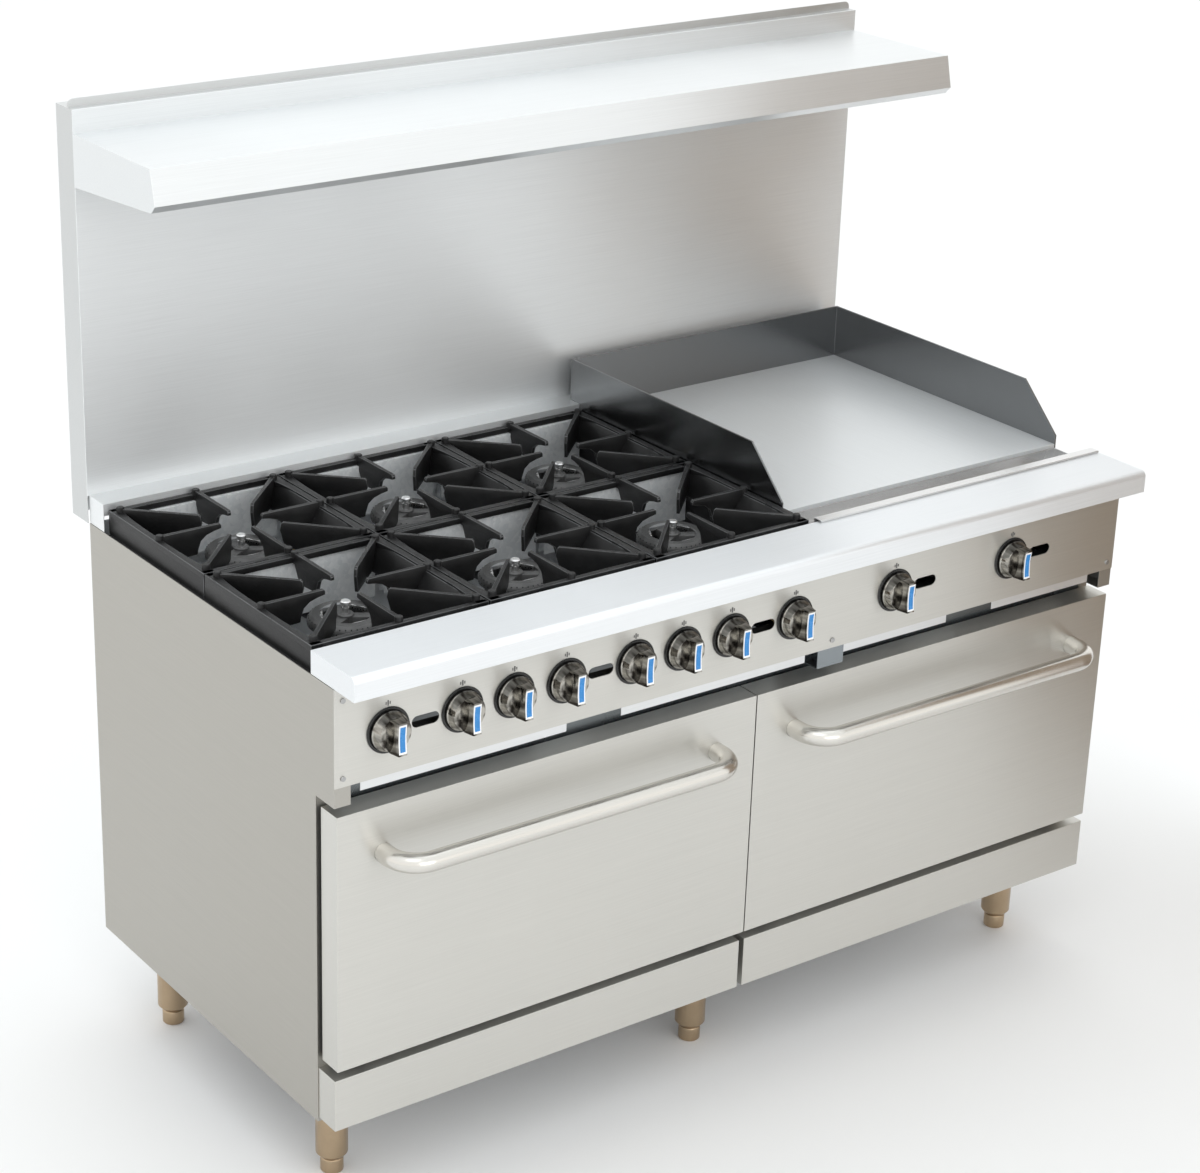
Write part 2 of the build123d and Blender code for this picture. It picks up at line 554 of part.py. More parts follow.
# ---------------------------------------------------------------- base
def legs():
    tube_bottom = FOOT_HEIGHT + FOOT_GAP
    taper_top = tube_bottom + LEG_TAPER
    solids = []
    for x in LEG_X:
        for y in LEG_Y:
            outer = rod((x, y, taper_top), (x, y, LEG_HEIGHT - LEG_PLATE), LEG_TUBE / 2)
            taper = loft([
                Pos(x, y, tube_bottom) * Circle(LEG_TUBE / 2 - LEG_TAPER_STEP),
                Pos(x, y, taper_top) * Circle(LEG_TUBE / 2),
            ])
            bore = rod((x, y, taper_top), (x, y, LEG_HEIGHT - LEG_PLATE), LEG_TUBE / 2 - LEG_WALL)
            thread = rod((x, y, 0), (x, y, taper_top + 1), FOOT_STEM / 2 + RUNNING_CLEARANCE)
            plate = block((x - LEG_PLATE_SIZE / 2, x + LEG_PLATE_SIZE / 2),
                          (y - LEG_PLATE_SIZE / 2, y + LEG_PLATE_SIZE / 2), (LEG_HEIGHT - LEG_PLATE, LEG_HEIGHT))
            solids.append(outer + taper - [bore, thread] + plate)
    return solids


def feet():
    solids = []
    for x in LEG_X:
        for y in LEG_Y:
            pad = rod((x, y, 0), (x, y, FOOT_HEIGHT), FOOT / 2)
            pad = chamfer(pad.edges().filter_by(GeomType.CIRCLE), FOOT_CHAMFER)
            stem = rod((x, y, FOOT_HEIGHT), (x, y, LEG_HEIGHT / 2), FOOT_STEM / 2)
            solids.append(pad + stem)
    return solids


# ---------------------------------------------------------------- gas train
def gas_manifold():
    inlet_x = HALF - INLET_INSET
    left_end = KNOB_SPOTS[0][0] - MANIFOLD_END
    inlet_end = BODY_BACK_Y + INLET_STICK_OUT
    corner = (inlet_x, VALVE_Y, MANIFOLD_Z)

    def pipe(radius, elbow, extra):
        header = rod((left_end + MANIFOLD_PLUG - 2 - extra, VALVE_Y, MANIFOLD_Z), corner, radius)
        feed = rod(corner, (inlet_x, inlet_end + extra, MANIFOLD_Z), radius)
        return header + [feed, ball(corner, radius + elbow)]

    plug = rod((left_end, VALVE_Y, MANIFOLD_Z), (left_end + MANIFOLD_PLUG, VALVE_Y, MANIFOLD_Z),
               MANIFOLD / 2 + MANIFOLD_PLUG_EDGE)
    collar = rod((inlet_x, BODY_BACK_Y + SHADOW_GAP, MANIFOLD_Z), (inlet_x, BODY_BACK_Y + INLET_COLLAR, MANIFOLD_Z),
                 MANIFOLD / 2 + INLET_COLLAR_EDGE)
    return pipe(MANIFOLD / 2, ELBOW_BULGE, 0) + collar - pipe(MANIFOLD_BORE / 2, ELBOW_BULGE / 2, 1) + plug


def valve(x, half_width, rise, back_y):
    """A valve or thermostat body that stands on the manifold, with a bore for the knob's stem."""
    front_y = VALVE_Y - VALVE_FRONT
    saddle = MANIFOLD_Z + MANIFOLD / 2
    body = block((x - half_width, x + half_width), (front_y, back_y),
                 (saddle + VALVE_FOOT, KNOB_Z + rise))
    foot = rod((x, VALVE_Y, saddle), (x, VALVE_Y, saddle + VALVE_FOOT + 1), VALVE_BOSS)
    boss = rod((x, front_y + 1, KNOB_Z), (x, front_y - VALVE_NOSE, KNOB_Z), VALVE_BOSS)
    bore = rod((x, front_y - VALVE_NOSE - 1, KNOB_Z), (x, front_y + STEM_SEAT, KNOB_Z),
               STEM / 2 + RUNNING_CLEARANCE)
    return body + [foot, boss] - bore


def gas_valves():
    solids = []
    back_y = VALVE_Y + VALVE_TAIL
    for x, use in KNOB_SPOTS:
        if use != "oven":
            body = valve(x, VALVE_SIZE / 2, VALVE_SIZE / 2, back_y)
            spud = rod((x, back_y - 1, KNOB_Z), (x, back_y + SPUD_REACH, KNOB_Z), SPUD / 2)
            solids.append(body + spud)
    return solids


def oven_thermostats():
    return [
        valve(x, VALVE_SIZE, VALVE_SIZE, VALVE_Y + THERMOSTAT_TAIL)
        for x, use in KNOB_SPOTS if use == "oven"
    ]


def burner_pair():
    """For each burner: its column and row position and the x of the valve that feeds it."""
    for column_x, pair_x in zip(COLUMN_X, KNOB_PAIR_X):
        for row_y, sign in zip(ROW_Y, (-1, 1)):
            yield column_x, row_y, pair_x + sign * KNOB_PAIR / 2


def open_burners():
    """A bowl on a bent mixing tube whose open mouth faces the valve's orifice."""
    solids = []
    bowl_top = BURNER_BASE + BURNER_BOWL
    mouth_y = VALVE_Y + VENTURI_MOUTH
    tube_radius = VENTURI / 2
    for x, y, valve_x in burner_pair():
        bowl = rod((x, y, BURNER_BASE), (x, y, bowl_top), BURNER_RADIUS)
        cavity = rod((x, y, BURNER_BASE + BOWL_FLOOR), (x, y, bowl_top + 1), BURNER_RADIUS - BOWL_WALL)
        under = (x, y, KNOB_Z)
        mouth = (valve_x, mouth_y, KNOB_Z)
        bend = (valve_x, y - VENTURI_BEND, KNOB_Z)
        tubes = [
            rod(under, (x, y, BURNER_BASE + 1), tube_radius),
            rod(mouth, bend, tube_radius),
            ball(bend, tube_radius + ELBOW_BULGE),
            rod(bend, under, tube_radius),
            ball(under, tube_radius + ELBOW_BULGE),
            rod(mouth, (valve_x, mouth_y + VENTURI_COLLAR, KNOB_Z), tube_radius + VENTURI_WALL),
        ]
        bell = rod((valve_x, mouth_y - 1, KNOB_Z), (valve_x, mouth_y + VENTURI_BELL, KNOB_Z),
                   tube_radius - VENTURI_WALL)
        solids.append(bowl - cavity + tubes - bell)
    return solids


def burner_head():
    """A cast head: a ported ring, three flat arms and a raised centre post."""
    height = BURNER_HEAD
    ring = Pos(0, 0, height / 2) * Cylinder(BURNER_HEAD_RADIUS, height)
    ring = chamfer(ring.edges().filter_by(GeomType.CIRCLE).sort_by(Axis.Z)[-1], HEAD_SHOULDER)
    hollow = Pos(0, 0, height / 2) * Cylinder(BURNER_HEAD_RADIUS - HEAD_RING, height + 2)
    arm = block((0, BURNER_HEAD_RADIUS - HEAD_RING / 2), (-HEAD_ARM / 2, HEAD_ARM / 2), (1, height - 3))
    arms = [Rot(0, 0, 90 + 120 * i) * arm for i in range(3)]
    hub = rod((0, 0, 0), (0, 0, height), HEAD_HUB)
    post = rod((0, 0, height - 1), (0, 0, height + HEAD_POST_RISE - 1), HEAD_POST)
    cap = rod((0, 0, height + HEAD_POST_RISE - HEAD_POST_CAP_HEIGHT), (0, 0, height + HEAD_POST_RISE), HEAD_POST_CAP)
    port = rod((BURNER_HEAD_RADIUS - HEAD_RING / 2, 0, height - 2 * HEAD_PORT),
               (BURNER_HEAD_RADIUS - HEAD_RING / 2, 0, height + 1), HEAD_PORT)
    ports = [Rot(0, 0, 360 / HEAD_PORTS * i) * port for i in range(HEAD_PORTS)]
    return ring - hollow + arms + [hub, post, cap] - ports


def burner_heads():
    head = burner_head()
    level = BURNER_BASE + BURNER_BOWL
    return [Pos(x, y, level) * head for x, y, valve_x in burner_pair()]


def pilot_burners():
    solids = []
    for x, y, valve_x in burner_pair():
        px, py = x + BURNER_HEAD_RADIUS + PILOT_OUT, y - PILOT_FORWARD
        top = BURNER_BASE + PILOT_HEIGHT
        tube = rod((px, py, BURNER_BASE), (px, py, top - 1), PILOT_TUBE / 2)
        hood = rod((px, py, top - PILOT_HOOD_HEIGHT), (px, py, top), PILOT_HOOD / 2)
        solids.append(tube + hood)
    return solids


# ---------------------------------------------------------------- cooktop structure
def cooktop_frame():
    y_front, y_mid, y_back = CROSS_RAIL_Y
    low = (RAIL_BOTTOM, RAIL_TOP)
    tall = (RAIL_BOTTOM, SHIELD_TOP - LINER_SHEET - CLEARANCE)
    half = RAIL / 2
    run = (y_front - half, y_back + half)
    members = [
        block((-INNER, -INNER + RAIL), run, low),
        block((INNER - RAIL, INNER), run, low),
        block((-INNER, INNER), (y_front - half, y_front + half), low),
        block((-INNER, INNER), (y_back - half, y_back + half), low),
        block((-INNER, DIVIDER_X), (y_mid - half, y_mid + half), low),
    ]
    for x in COLUMN_EDGE_X[1:]:
        members.append(block((x - COLUMN_RAIL / 2, x + COLUMN_RAIL / 2), run, low))
    for y in CROSS_RAIL_Y:
        members.append(block((GRATES_LEFT + GRATE_WALL + 2, GRATES_RIGHT - GRATE_WALL - 2),
                             (y - half, y + half), tall))
    members.append(block((DIVIDER_X - DIVIDER_PLATE / 2, DIVIDER_X + DIVIDER_PLATE / 2), run,
                         (BURNER_BASE - DIVIDER_DROP, RAIL_TOP)))
    burner_straps = [y + offset for y in ROW_Y for offset in (-BURNER_STRAP_SPREAD, BURNER_STRAP_SPREAD)]
    griddle_straps = [y_front + GRIDDLE_STRAP_INSET, y_back - GRIDDLE_STRAP_INSET]
    strap_z = (BURNER_BASE - BURNER_STRAP_HEIGHT, BURNER_BASE)
    for x_range, places in (((-INNER, DIVIDER_X), burner_straps), ((DIVIDER_X, INNER), griddle_straps)):
        for y in places:
            members.append(block(x_range, (y - BURNER_STRAP / 2, y + BURNER_STRAP / 2), strap_z))
    notches = []
    for x in COLUMN_EDGE_X[1:-1]:
        notches.append(block((x - NOTCH_HALF, x + NOTCH_HALF), (run[0] - 1, run[1] + 1), (RAIL_TOP, COOKTOP_HEIGHT)))
    frame = fuse(members) - notches
    return [frame] + tray_runners()


def tray_ranges():
    """The two crumb trays' spans across the front, between the side tabs and the middle tab."""
    tab_x = middle_tab_range()
    return {
        "left": (-HALF + TAB_WIDTH + TRAY_END_GAP, tab_x[0] - TRAY_END_GAP),
        "right": (tab_x[1] + TRAY_END_GAP / 4, HALF - TAB_WIDTH - TRAY_END_GAP),
    }


def tray_runners():
    """Angle runners under the ends of the crumb trays, from the face frame to the back."""
    runners = []
    y_range = (FRAME_FRONT_Y, REAR_SHEET_Y - SHEET)
    floor = (TRAY_BOTTOM - SHADOW_GAP, TRAY_BOTTOM - CLEARANCE)
    for low, high in tray_ranges().values():
        for inner, outer in ((low + RUNNER_REACH, low - RUNNER_GAP), (high - RUNNER_REACH, high + RUNNER_GAP)):
            ledge = block(sorted((inner, outer)), y_range, floor)
            wall = block(sorted((outer, outer + (1 if outer > inner else -1) * SHEET)), y_range,
                         (floor[0], TRAY_TOP))
            runners.append(ledge + wall)
    return runners


def heat_shields():
    """Bright folded shields over the cross rails, one per burner column and rail."""
    covers = []
    for y in CROSS_RAIL_Y:
        for x_low, x_high in zip(COLUMN_EDGE_X[:-1], COLUMN_EDGE_X[1:]):
            ends = (x_low + NOTCH_HALF + 0.5, x_high - NOTCH_HALF - 0.5)
            outer = block(ends, (y - SHIELD_HALF, y + SHIELD_HALF), (SHIELD_BOTTOM, SHIELD_TOP))
            inner_half = SHIELD_HALF - LINER_SHEET
            inner = block((ends[0] - 1, ends[1] + 1), (y - inner_half, y + inner_half),
                          (SHIELD_BOTTOM - 1, SHIELD_TOP - LINER_SHEET))
            covers.append(outer - inner)
    return covers


def grate():
    """A cast grate about its own middle, with z measured from the floor."""
    half_x, half_y = GRATE_WIDTH / 2, GRATE_LENGTH / 2
    top, finger_top = COOKTOP_HEIGHT, COOKTOP_HEIGHT + BLADE_RISE
    rim = block((-half_x, half_x), (-half_y, half_y), (RIM_BOTTOM, top))
    rim -= block((-half_x + GRATE_RIM, half_x - GRATE_RIM),
                 (-half_y + GRATE_END_BAR, half_y - GRATE_END_BAR), (RIM_BOTTOM - 1, top + 1))
    skirts = [
        block((-half_x, -half_x + GRATE_WALL), (-half_y, half_y), (SKIRT_BOTTOM, top)),
        block((half_x - GRATE_WALL, half_x), (-half_y, half_y), (SKIRT_BOTTOM, top)),
    ]
    slope = [
        (half_x - GRATE_RIM, RIM_BOTTOM + GRATE_SLOPE_BITE),
        (half_x - GRATE_RIM + GRATE_WALL, RIM_BOTTOM + GRATE_SLOPE_BITE),
        (half_x - GRATE_SLOPE_FOOT + GRATE_WALL, SKIRT_BOTTOM),
        (half_x - GRATE_SLOPE_FOOT, SKIRT_BOTTOM),
    ]
    slopes = [Rot(0, 0, angle) * finger(slope, 2 * (half_y - GRATE_SLOPE_END)) for angle in (0, 180)]
    fingers = []
    for angle, reach in ((0, half_x), (90, half_y), (180, half_x), (270, half_y)):
        tip = SIDE_FINGER_TIP
        root = reach - 4
        outline = [
            (root, finger_top),
            (tip, finger_top),
            (tip, finger_top - 7),
            (tip + 20, finger_top - 11),
            (tip + 38, finger_top - 22),
            (tip + 42, finger_top - 45),
            (reach - 26, SKIRT_BOTTOM + 1),
            (reach - 18, RIM_BOTTOM),
            (root, RIM_BOTTOM),
        ]
        fingers.append(Rot(0, 0, angle) * finger(outline))
    diagonal = (half_x - GRATE_RIM + 3) * 2 ** 0.5
    corner_outline = [
        (diagonal, finger_top),
        (CORNER_FINGER_TIP, finger_top),
        (CORNER_FINGER_TIP - 3, finger_top - 14),
        (CORNER_FINGER_TIP + 6, SKIRT_BOTTOM + 4),
        (diagonal - 34, SKIRT_BOTTOM + 1),
        (diagonal - 12, RIM_BOTTOM),
        (diagonal, RIM_BOTTOM),
    ]
    for angle in (45, 135, 225, 315):
        fingers.append(Rot(0, 0, angle) * finger(corner_outline))
    return rim + skirts + slopes + fingers


def finger(outline, thickness=BLADE):
    """A grate finger or wall along +X: an outline in (x, z) with its thickness across it."""
    plane = Plane(origin=(0, thickness / 2, 0), x_dir=(1, 0, 0), z_dir=(0, -1, 0))
    return extrude(plane * make_face(Polyline(*outline, close=True)), amount=thickness)


# ---------------------------------------------------------------- griddle
def griddle_plate():
    return block((GRIDDLE_LEFT + SPLASH_PLATE, GRIDDLE_RIGHT - SPLASH_PLATE),
                 (GRIDDLE_FRONT, GRIDDLE_BACK - SPLASH_PLATE),
                 (GRIDDLE_TOP - GRIDDLE_PLATE, GRIDDLE_TOP))


def griddle_splash():
    top = COOKTOP_HEIGHT + SPLASH_RISE
    outline = [
        (GRIDDLE_FRONT, SKIRT_BOTTOM),
        (GRIDDLE_BACK, SKIRT_BOTTOM),
        (GRIDDLE_BACK, top),
        (GRIDDLE_FRONT + SPLASH_SLOPE, top),
        (GRIDDLE_FRONT, COOKTOP_HEIGHT + SPLASH_NOSE),
    ]
    left = side_outline(outline, (GRIDDLE_LEFT, GRIDDLE_LEFT + SPLASH_PLATE))
    right = side_outline(outline, (GRIDDLE_RIGHT - SPLASH_PLATE, GRIDDLE_RIGHT))
    back = block((GRIDDLE_LEFT, GRIDDLE_RIGHT), (GRIDDLE_BACK - SPLASH_PLATE, GRIDDLE_BACK), (SKIRT_BOTTOM, top))
    return left + [right, back]


def grease_gutter():
    """A removable trough ahead of the griddle, hooked over the front ledge."""
    hook_x = (GRIDDLE_LEFT + GUTTER_SIDE_GAP, HALF - GUTTER_SIDE_GAP / 2)
    trough_x = (GRIDDLE_LEFT + GUTTER_SIDE_GAP, GRIDDLE_RIGHT - GUTTER_SIDE_GAP)
    floor = SKIRT_BOTTOM + GUTTER_FLOOR_RISE
    rim = GRIDDLE_TOP - GUTTER_TOP_DROP
    hook_top = COOKTOP_HEIGHT + GUTTER_HOOK_RISE
    front_y = LEDGE_BACK_Y + GUTTER_FRONT_GAP
    back_y = GRIDDLE_FRONT - SHADOW_GAP
    hook_y = front_y - GUTTER_HOOK
    bottom = block(trough_x, (front_y, back_y), (floor, floor + SHEET))
    back = block(trough_x, (back_y - SHEET, back_y), (floor, rim))
    front = block(trough_x, (front_y, front_y + SHEET), (floor, hook_top))
    ends = [
        block((trough_x[0], trough_x[0] + SHEET), (front_y, back_y), (floor, rim)),
        block((trough_x[1] - SHEET, trough_x[1]), (front_y, back_y), (floor, rim)),
    ]
    hook = block(hook_x, (hook_y, front_y + SHEET), (hook_top - SHEET, hook_top))
    lip = block(hook_x, (hook_y, hook_y + SHEET), (COOKTOP_HEIGHT + CLEARANCE, hook_top))
    return bottom + [back, front, hook, lip] + ends


def griddle_burners():
    """U-shaped tube burners: a header across the front with two legs that run back under the plate."""
    solids = []
    y_front, y_back = CROSS_RAIL_Y[0] + GRIDDLE_BURNER_SETBACK, CROSS_RAIL_Y[2] - GRIDDLE_BURNER_BACK_GAP
    leg_radius = VENTURI / 2
    header_radius = leg_radius + ELBOW_BULGE
    z = BURNER_BASE + header_radius
    for x in GRIDDLE_KNOB_X:
        leg_x = (x, x + GRIDDLE_KNOB_SPACING / 2)
        header = rod((leg_x[0] - header_radius, y_front, z), (leg_x[1] + header_radius, y_front, z), header_radius)
        legs_back = [rod((end, y_front, z), (end, y_back, z), leg_radius) for end in leg_x]
        feed = rod((x, VALVE_Y + VENTURI_MOUTH, KNOB_Z), (x, y_front, z), leg_radius - ELBOW_BULGE)
        solids.append(header + legs_back + [feed])
    return solids


# ---------------------------------------------------------------- backguard, deck and shelf

def rear_deck():
    front_y = GRATES_BACK + 2.0
    back_y = REAR_SHEET_Y
    top = block((-HALF, GRIDDLE_LEFT - CLEARANCE), (front_y, back_y), (DECK_TOP - SHEET, DECK_TOP))
    behind = block((-HALF, HALF), (GRIDDLE_BACK + CLEARANCE, back_y), (DECK_TOP - SHEET, DECK_TOP))
    lip = block((-HALF, GRIDDLE_LEFT - CLEARANCE), (front_y, front_y + SHEET), (DECK_TOP - 2 * DECK_RISE, DECK_TOP))
    end_z = (PANEL_TOP + SHADOW_GAP, DECK_TOP)
    left_end = block((-HALF, -HALF + SHEET), (front_y, back_y), end_z)
    right_end = block((HALF - SHEET, HALF), (GRIDDLE_BACK + CLEARANCE, back_y), end_z)
    return top + [behind, lip, left_end, right_end]


def backguard_panel():
    return block((-BACKGUARD_HALF, BACKGUARD_HALF), (REAR_SHEET_Y, BODY_BACK_Y),
                 (DECK_TOP - SHEET, SHELF_TOP + SHELF_UPSTAND))


def backguard_riser():
    """The flue box behind the backguard: vents in its top and a lip standing ahead of them."""
    outer = block((-BACKGUARD_HALF, BACKGUARD_HALF), (BODY_BACK_Y, DEPTH / 2), (PANEL_TOP, RISER_TOP))
    inner = block((-BACKGUARD_HALF + SHEET, BACKGUARD_HALF - SHEET), (BODY_BACK_Y - 1, DEPTH / 2 - SHEET),
                  (PANEL_TOP - 1, RISER_TOP - SHEET))
    lip_y = (BODY_BACK_Y + RISER_LIP_SETBACK, BODY_BACK_Y + RISER_LIP_SETBACK + SHEET)
    lip = block((-BACKGUARD_HALF, BACKGUARD_HALF), lip_y, (RISER_TOP - SHEET, HEIGHT))
    lip = fillet(lip.edges().filter_by(Axis.Y).group_by(Axis.Z)[-1], RISER_LIP_CORNER)
    pitch = 2 * BACKGUARD_HALF / RISER_VENTS
    vents = [
        block((-BACKGUARD_HALF + (i + 0.1) * pitch, -BACKGUARD_HALF + (i + 0.9) * pitch),
              (lip_y[1] + RISER_VENT_MARGIN, DEPTH / 2 - SHEET - RISER_VENT_MARGIN),
              (RISER_TOP - 2 * SHEET, RISER_TOP + 1))
        for i in range(RISER_VENTS)
    ]
    return outer - [inner] - vents + lip


def shelf():
    half = BACKGUARD_HALF + 1.0
    back_y = REAR_SHEET_Y
    edge_y = back_y - SHELF_DEPTH
    lip_y, lip_z = edge_y - SHELF_LIP_LEAN, SHELF_TOP - SHELF_LIP
    top = block((-half, half), (edge_y, back_y), (SHELF_TOP - SHEET, SHELF_TOP))
    upstand = block((-half, half), (back_y - SHEET, back_y), (SHELF_TOP - SHEET, SHELF_TOP + SHELF_UPSTAND))
    lip_outline = [
        (edge_y, SHELF_TOP),
        (lip_y, lip_z),
        (lip_y + SHELF_HEM, lip_z - SHELF_HEM),
        (lip_y + SHELF_HEM + 1.1, lip_z - SHELF_HEM + 1.1),
        (lip_y + 1.8, lip_z + 0.2),
        (edge_y + 1.6, SHELF_TOP - SHEET),
        (edge_y + 3.0, SHELF_TOP),
    ]
    lip = side_outline(lip_outline, (-half, half))
    gusset_outline = [
        (edge_y, SHELF_TOP),
        (lip_y, lip_z),
        (lip_y + SHELF_HEM, lip_z - SHELF_HEM),
        (back_y, SHELF_TOP - SHELF_GUSSET),
        (back_y, SHELF_TOP),
    ]
    gussets = [
        side_outline(gusset_outline, (-half, -half + SHEET)),
        side_outline(gusset_outline, (half - SHEET, half)),
    ]
    return top + [upstand, lip] + gussets


# ---------------------------------------------------------------- ovens
def oven_liner(side):
    x = OVEN_X[side]
    half = OVEN_WIDTH / 2
    floor = OVEN_FLOOR - OVEN_BURNER_SPACE
    front_y = FRAME_BACK_Y
    back_y = front_y + OVEN_LENGTH
    wall = LINER_SHEET
    outer = block((x - half - wall, x + half + wall), (front_y, back_y + wall), (floor - wall, OVEN_ROOF + wall))
    inner = block((x - half, x + half), (front_y - 1, back_y), (floor, OVEN_ROOF))
    return outer - inner


def oven_floors():
    solids = []
    front_y = FRAME_BACK_Y + OVEN_FLOOR_EDGE
    back_y = FRAME_BACK_Y + OVEN_LENGTH - OVEN_FLOOR_BACK
    for x in OVEN_X.values():
        half = OVEN_WIDTH / 2 - OVEN_FLOOR_EDGE
        outer = block((x - half, x + half), (front_y, back_y), (OVEN_FLOOR - OVEN_BURNER_SPACE, OVEN_FLOOR))
        inner = block((x - half + SHEET, x + half - SHEET), (front_y - 1, back_y + 1),
                      (OVEN_FLOOR - OVEN_BURNER_SPACE - 1, OVEN_FLOOR - SHEET))
        solids.append(outer - inner)
    return solids


def oven_burners():
    solids = []
    z = OVEN_FLOOR - OVEN_BURNER_SPACE + OVEN_BURNER / 2
    y_front, y_back = FRAME_BACK_Y + OVEN_BURNER_FRONT, FRAME_BACK_Y + OVEN_LENGTH - OVEN_BURNER_BACK
    for x in OVEN_X.values():
        tube = rod((x, y_front, z), (x, y_back, z), OVEN_BURNER / 2)
        bore = rod((x, y_front - 1, z), (x, y_front + OVEN_BURNER_MOUTH, z), OVEN_BURNER / 2 - OVEN_BURNER_WALL)
        cap = rod((x, y_back, z), (x, y_back + OVEN_BURNER_WALL, z), OVEN_BURNER / 2)
        solids.append(tube - bore + cap)
    return solids


def guide_x(side, inward=0.0):
    """The x of the two rack guide planes of one oven, or of planes a little further in."""
    offset = OVEN_WIDTH / 2 - GUIDE_STANDOFF - inward
    return OVEN_X[side] - offset, OVEN_X[side] + offset


def rack_guides():
    """Wire ladders on both walls of each oven, with three rack positions."""
    ladders = []
    front_y, back_y = FRAME_BACK_Y + RACK_SETBACK, FRAME_BACK_Y + OVEN_LENGTH - GUIDE_BACK
    levels = [OVEN_FLOOR + RACK_HEIGHT + step * GUIDE_PITCH for step in (-1, 0, 1)]
    radius = GUIDE_WIRE / 2
    for side in OVEN_X:
        for x, outward in zip(guide_x(side), (-1, 1)):
            wires = [rod((x, front_y, z), (x, back_y, z), radius) for z in levels]
            upright_x = x + outward * (GUIDE_WIRE - 1)
            for y in (front_y + GUIDE_END, back_y - GUIDE_END):
                ends = (levels[0] - GUIDE_TAIL, levels[-1] + GUIDE_TAIL)
                wires.append(rod((upright_x, y, ends[0]), (upright_x, y, ends[1]), radius))
                for z in (levels[0] - GUIDE_TAIL / 2, levels[-1] + GUIDE_TAIL / 2):
                    wires.append(rod((upright_x, y, z), (x + outward * GUIDE_STANDOFF, y, z), radius))
            ladders.append(fuse(wires))
    return ladders


def oven_rack(side):
    """A wire rack that rests on the middle guide wires."""
    low, high = guide_x(side, RACK_INSET)
    radius = RACK_FRAME / 2
    z = OVEN_FLOOR + RACK_HEIGHT + GUIDE_WIRE / 2 + CLEARANCE + radius
    front_y = FRAME_BACK_Y + RACK_SETBACK
    back_y = front_y + RACK_LENGTH
    corners = [(low, front_y, z), (high, front_y, z), (high, back_y, z), (low, back_y, z)]
    wires = [rod(a, b, radius) for a, b in zip(corners, corners[1:] + corners[:1])]
    wires += [ball(corner, radius) for corner in corners]
    spacing = (high - low) / (RACK_WIRES + 1)
    for i in range(RACK_WIRES):
        x = low + (i + 1) * spacing
        wires.append(rod((x, front_y, z + radius), (x, back_y, z + radius), RACK_WIRE / 2))
    wires.append(rod((low, (front_y + back_y) / 2, z), (high, (front_y + back_y) / 2, z), RACK_WIRE / 2))
    return fuse(wires)


# ---------------------------------------------------------------- doors
def door_range(side):
    ends = (DOOR_SIDE_GAP, HALF - DOOR_INSET)
    return (-ends[1], -ends[0]) if side == "left" else ends


def hinge_positions(side):
    low, high = door_range(side)
    return low + HINGE_INSET, high - HINGE_INSET


def hinge_notches(side):
    """Room in the door's lower back corner for the fixed brackets, over the whole swing."""
    half = BRACKET_PLATE / 2 + EAR_PLATE + HINGE_ROOM
    return [
        block((x - half, x + half), (HINGE_Y - EAR_RADIUS - HINGE_ROOM, DOOR_BACK_Y + 1),
              (DOOR_BOTTOM - 1, HINGE_Z + EAR_RADIUS + HINGE_ROOM))
        for x in hinge_positions(side)
    ]


def door_shell(side):
    x_range = door_range(side)
    outer = block(x_range, (DOOR_FACE_Y, DOOR_BACK_Y), (DOOR_BOTTOM, DOOR_TOP))
    inner = block((x_range[0] + SHEET, x_range[1] - SHEET), (DOOR_FACE_Y + SHEET, DOOR_BACK_Y + 1),
                  (DOOR_BOTTOM + SHEET, DOOR_TOP - SHEET))
    return outer - [inner] - hinge_notches(side)


def door_liner(side):
    """The door's inside pan, with the ears and pins of its two hinges."""
    low, high = door_range(side)
    edge = SHEET
    pan_y = (DOOR_BACK_Y - DOOR_PAN, DOOR_BACK_Y)
    outer = block((low + edge, high - edge), pan_y, (DOOR_BOTTOM + edge, DOOR_TOP - edge))
    inner = block((low + edge + LINER_SHEET, high - edge - LINER_SHEET), (pan_y[0] - 1, DOOR_BACK_Y - LINER_SHEET),
                  (DOOR_BOTTOM + edge + LINER_SHEET, DOOR_TOP - edge - LINER_SHEET))
    pan = outer - [inner] - hinge_notches(side)
    ears = []
    for x in hinge_positions(side):
        gap = BRACKET_PLATE / 2 + CLEARANCE
        for ear_x in ((x - gap - EAR_PLATE, x - gap), (x + gap, x + gap + EAR_PLATE)):
            round_end = rod((ear_x[0], HINGE_Y, HINGE_Z), (ear_x[1], HINGE_Y, HINGE_Z), EAR_RADIUS)
            plate = block(ear_x, (HINGE_Y - EAR_RADIUS, DOOR_BACK_Y - LINER_SHEET),
                          (HINGE_Z, HINGE_Z + EAR_LENGTH))
            ears += [round_end, plate]
        ears.append(rod((x - gap - EAR_PLATE, HINGE_Y, HINGE_Z), (x + gap + EAR_PLATE, HINGE_Y, HINGE_Z),
                        HINGE_PIN / 2))
    return pan + ears


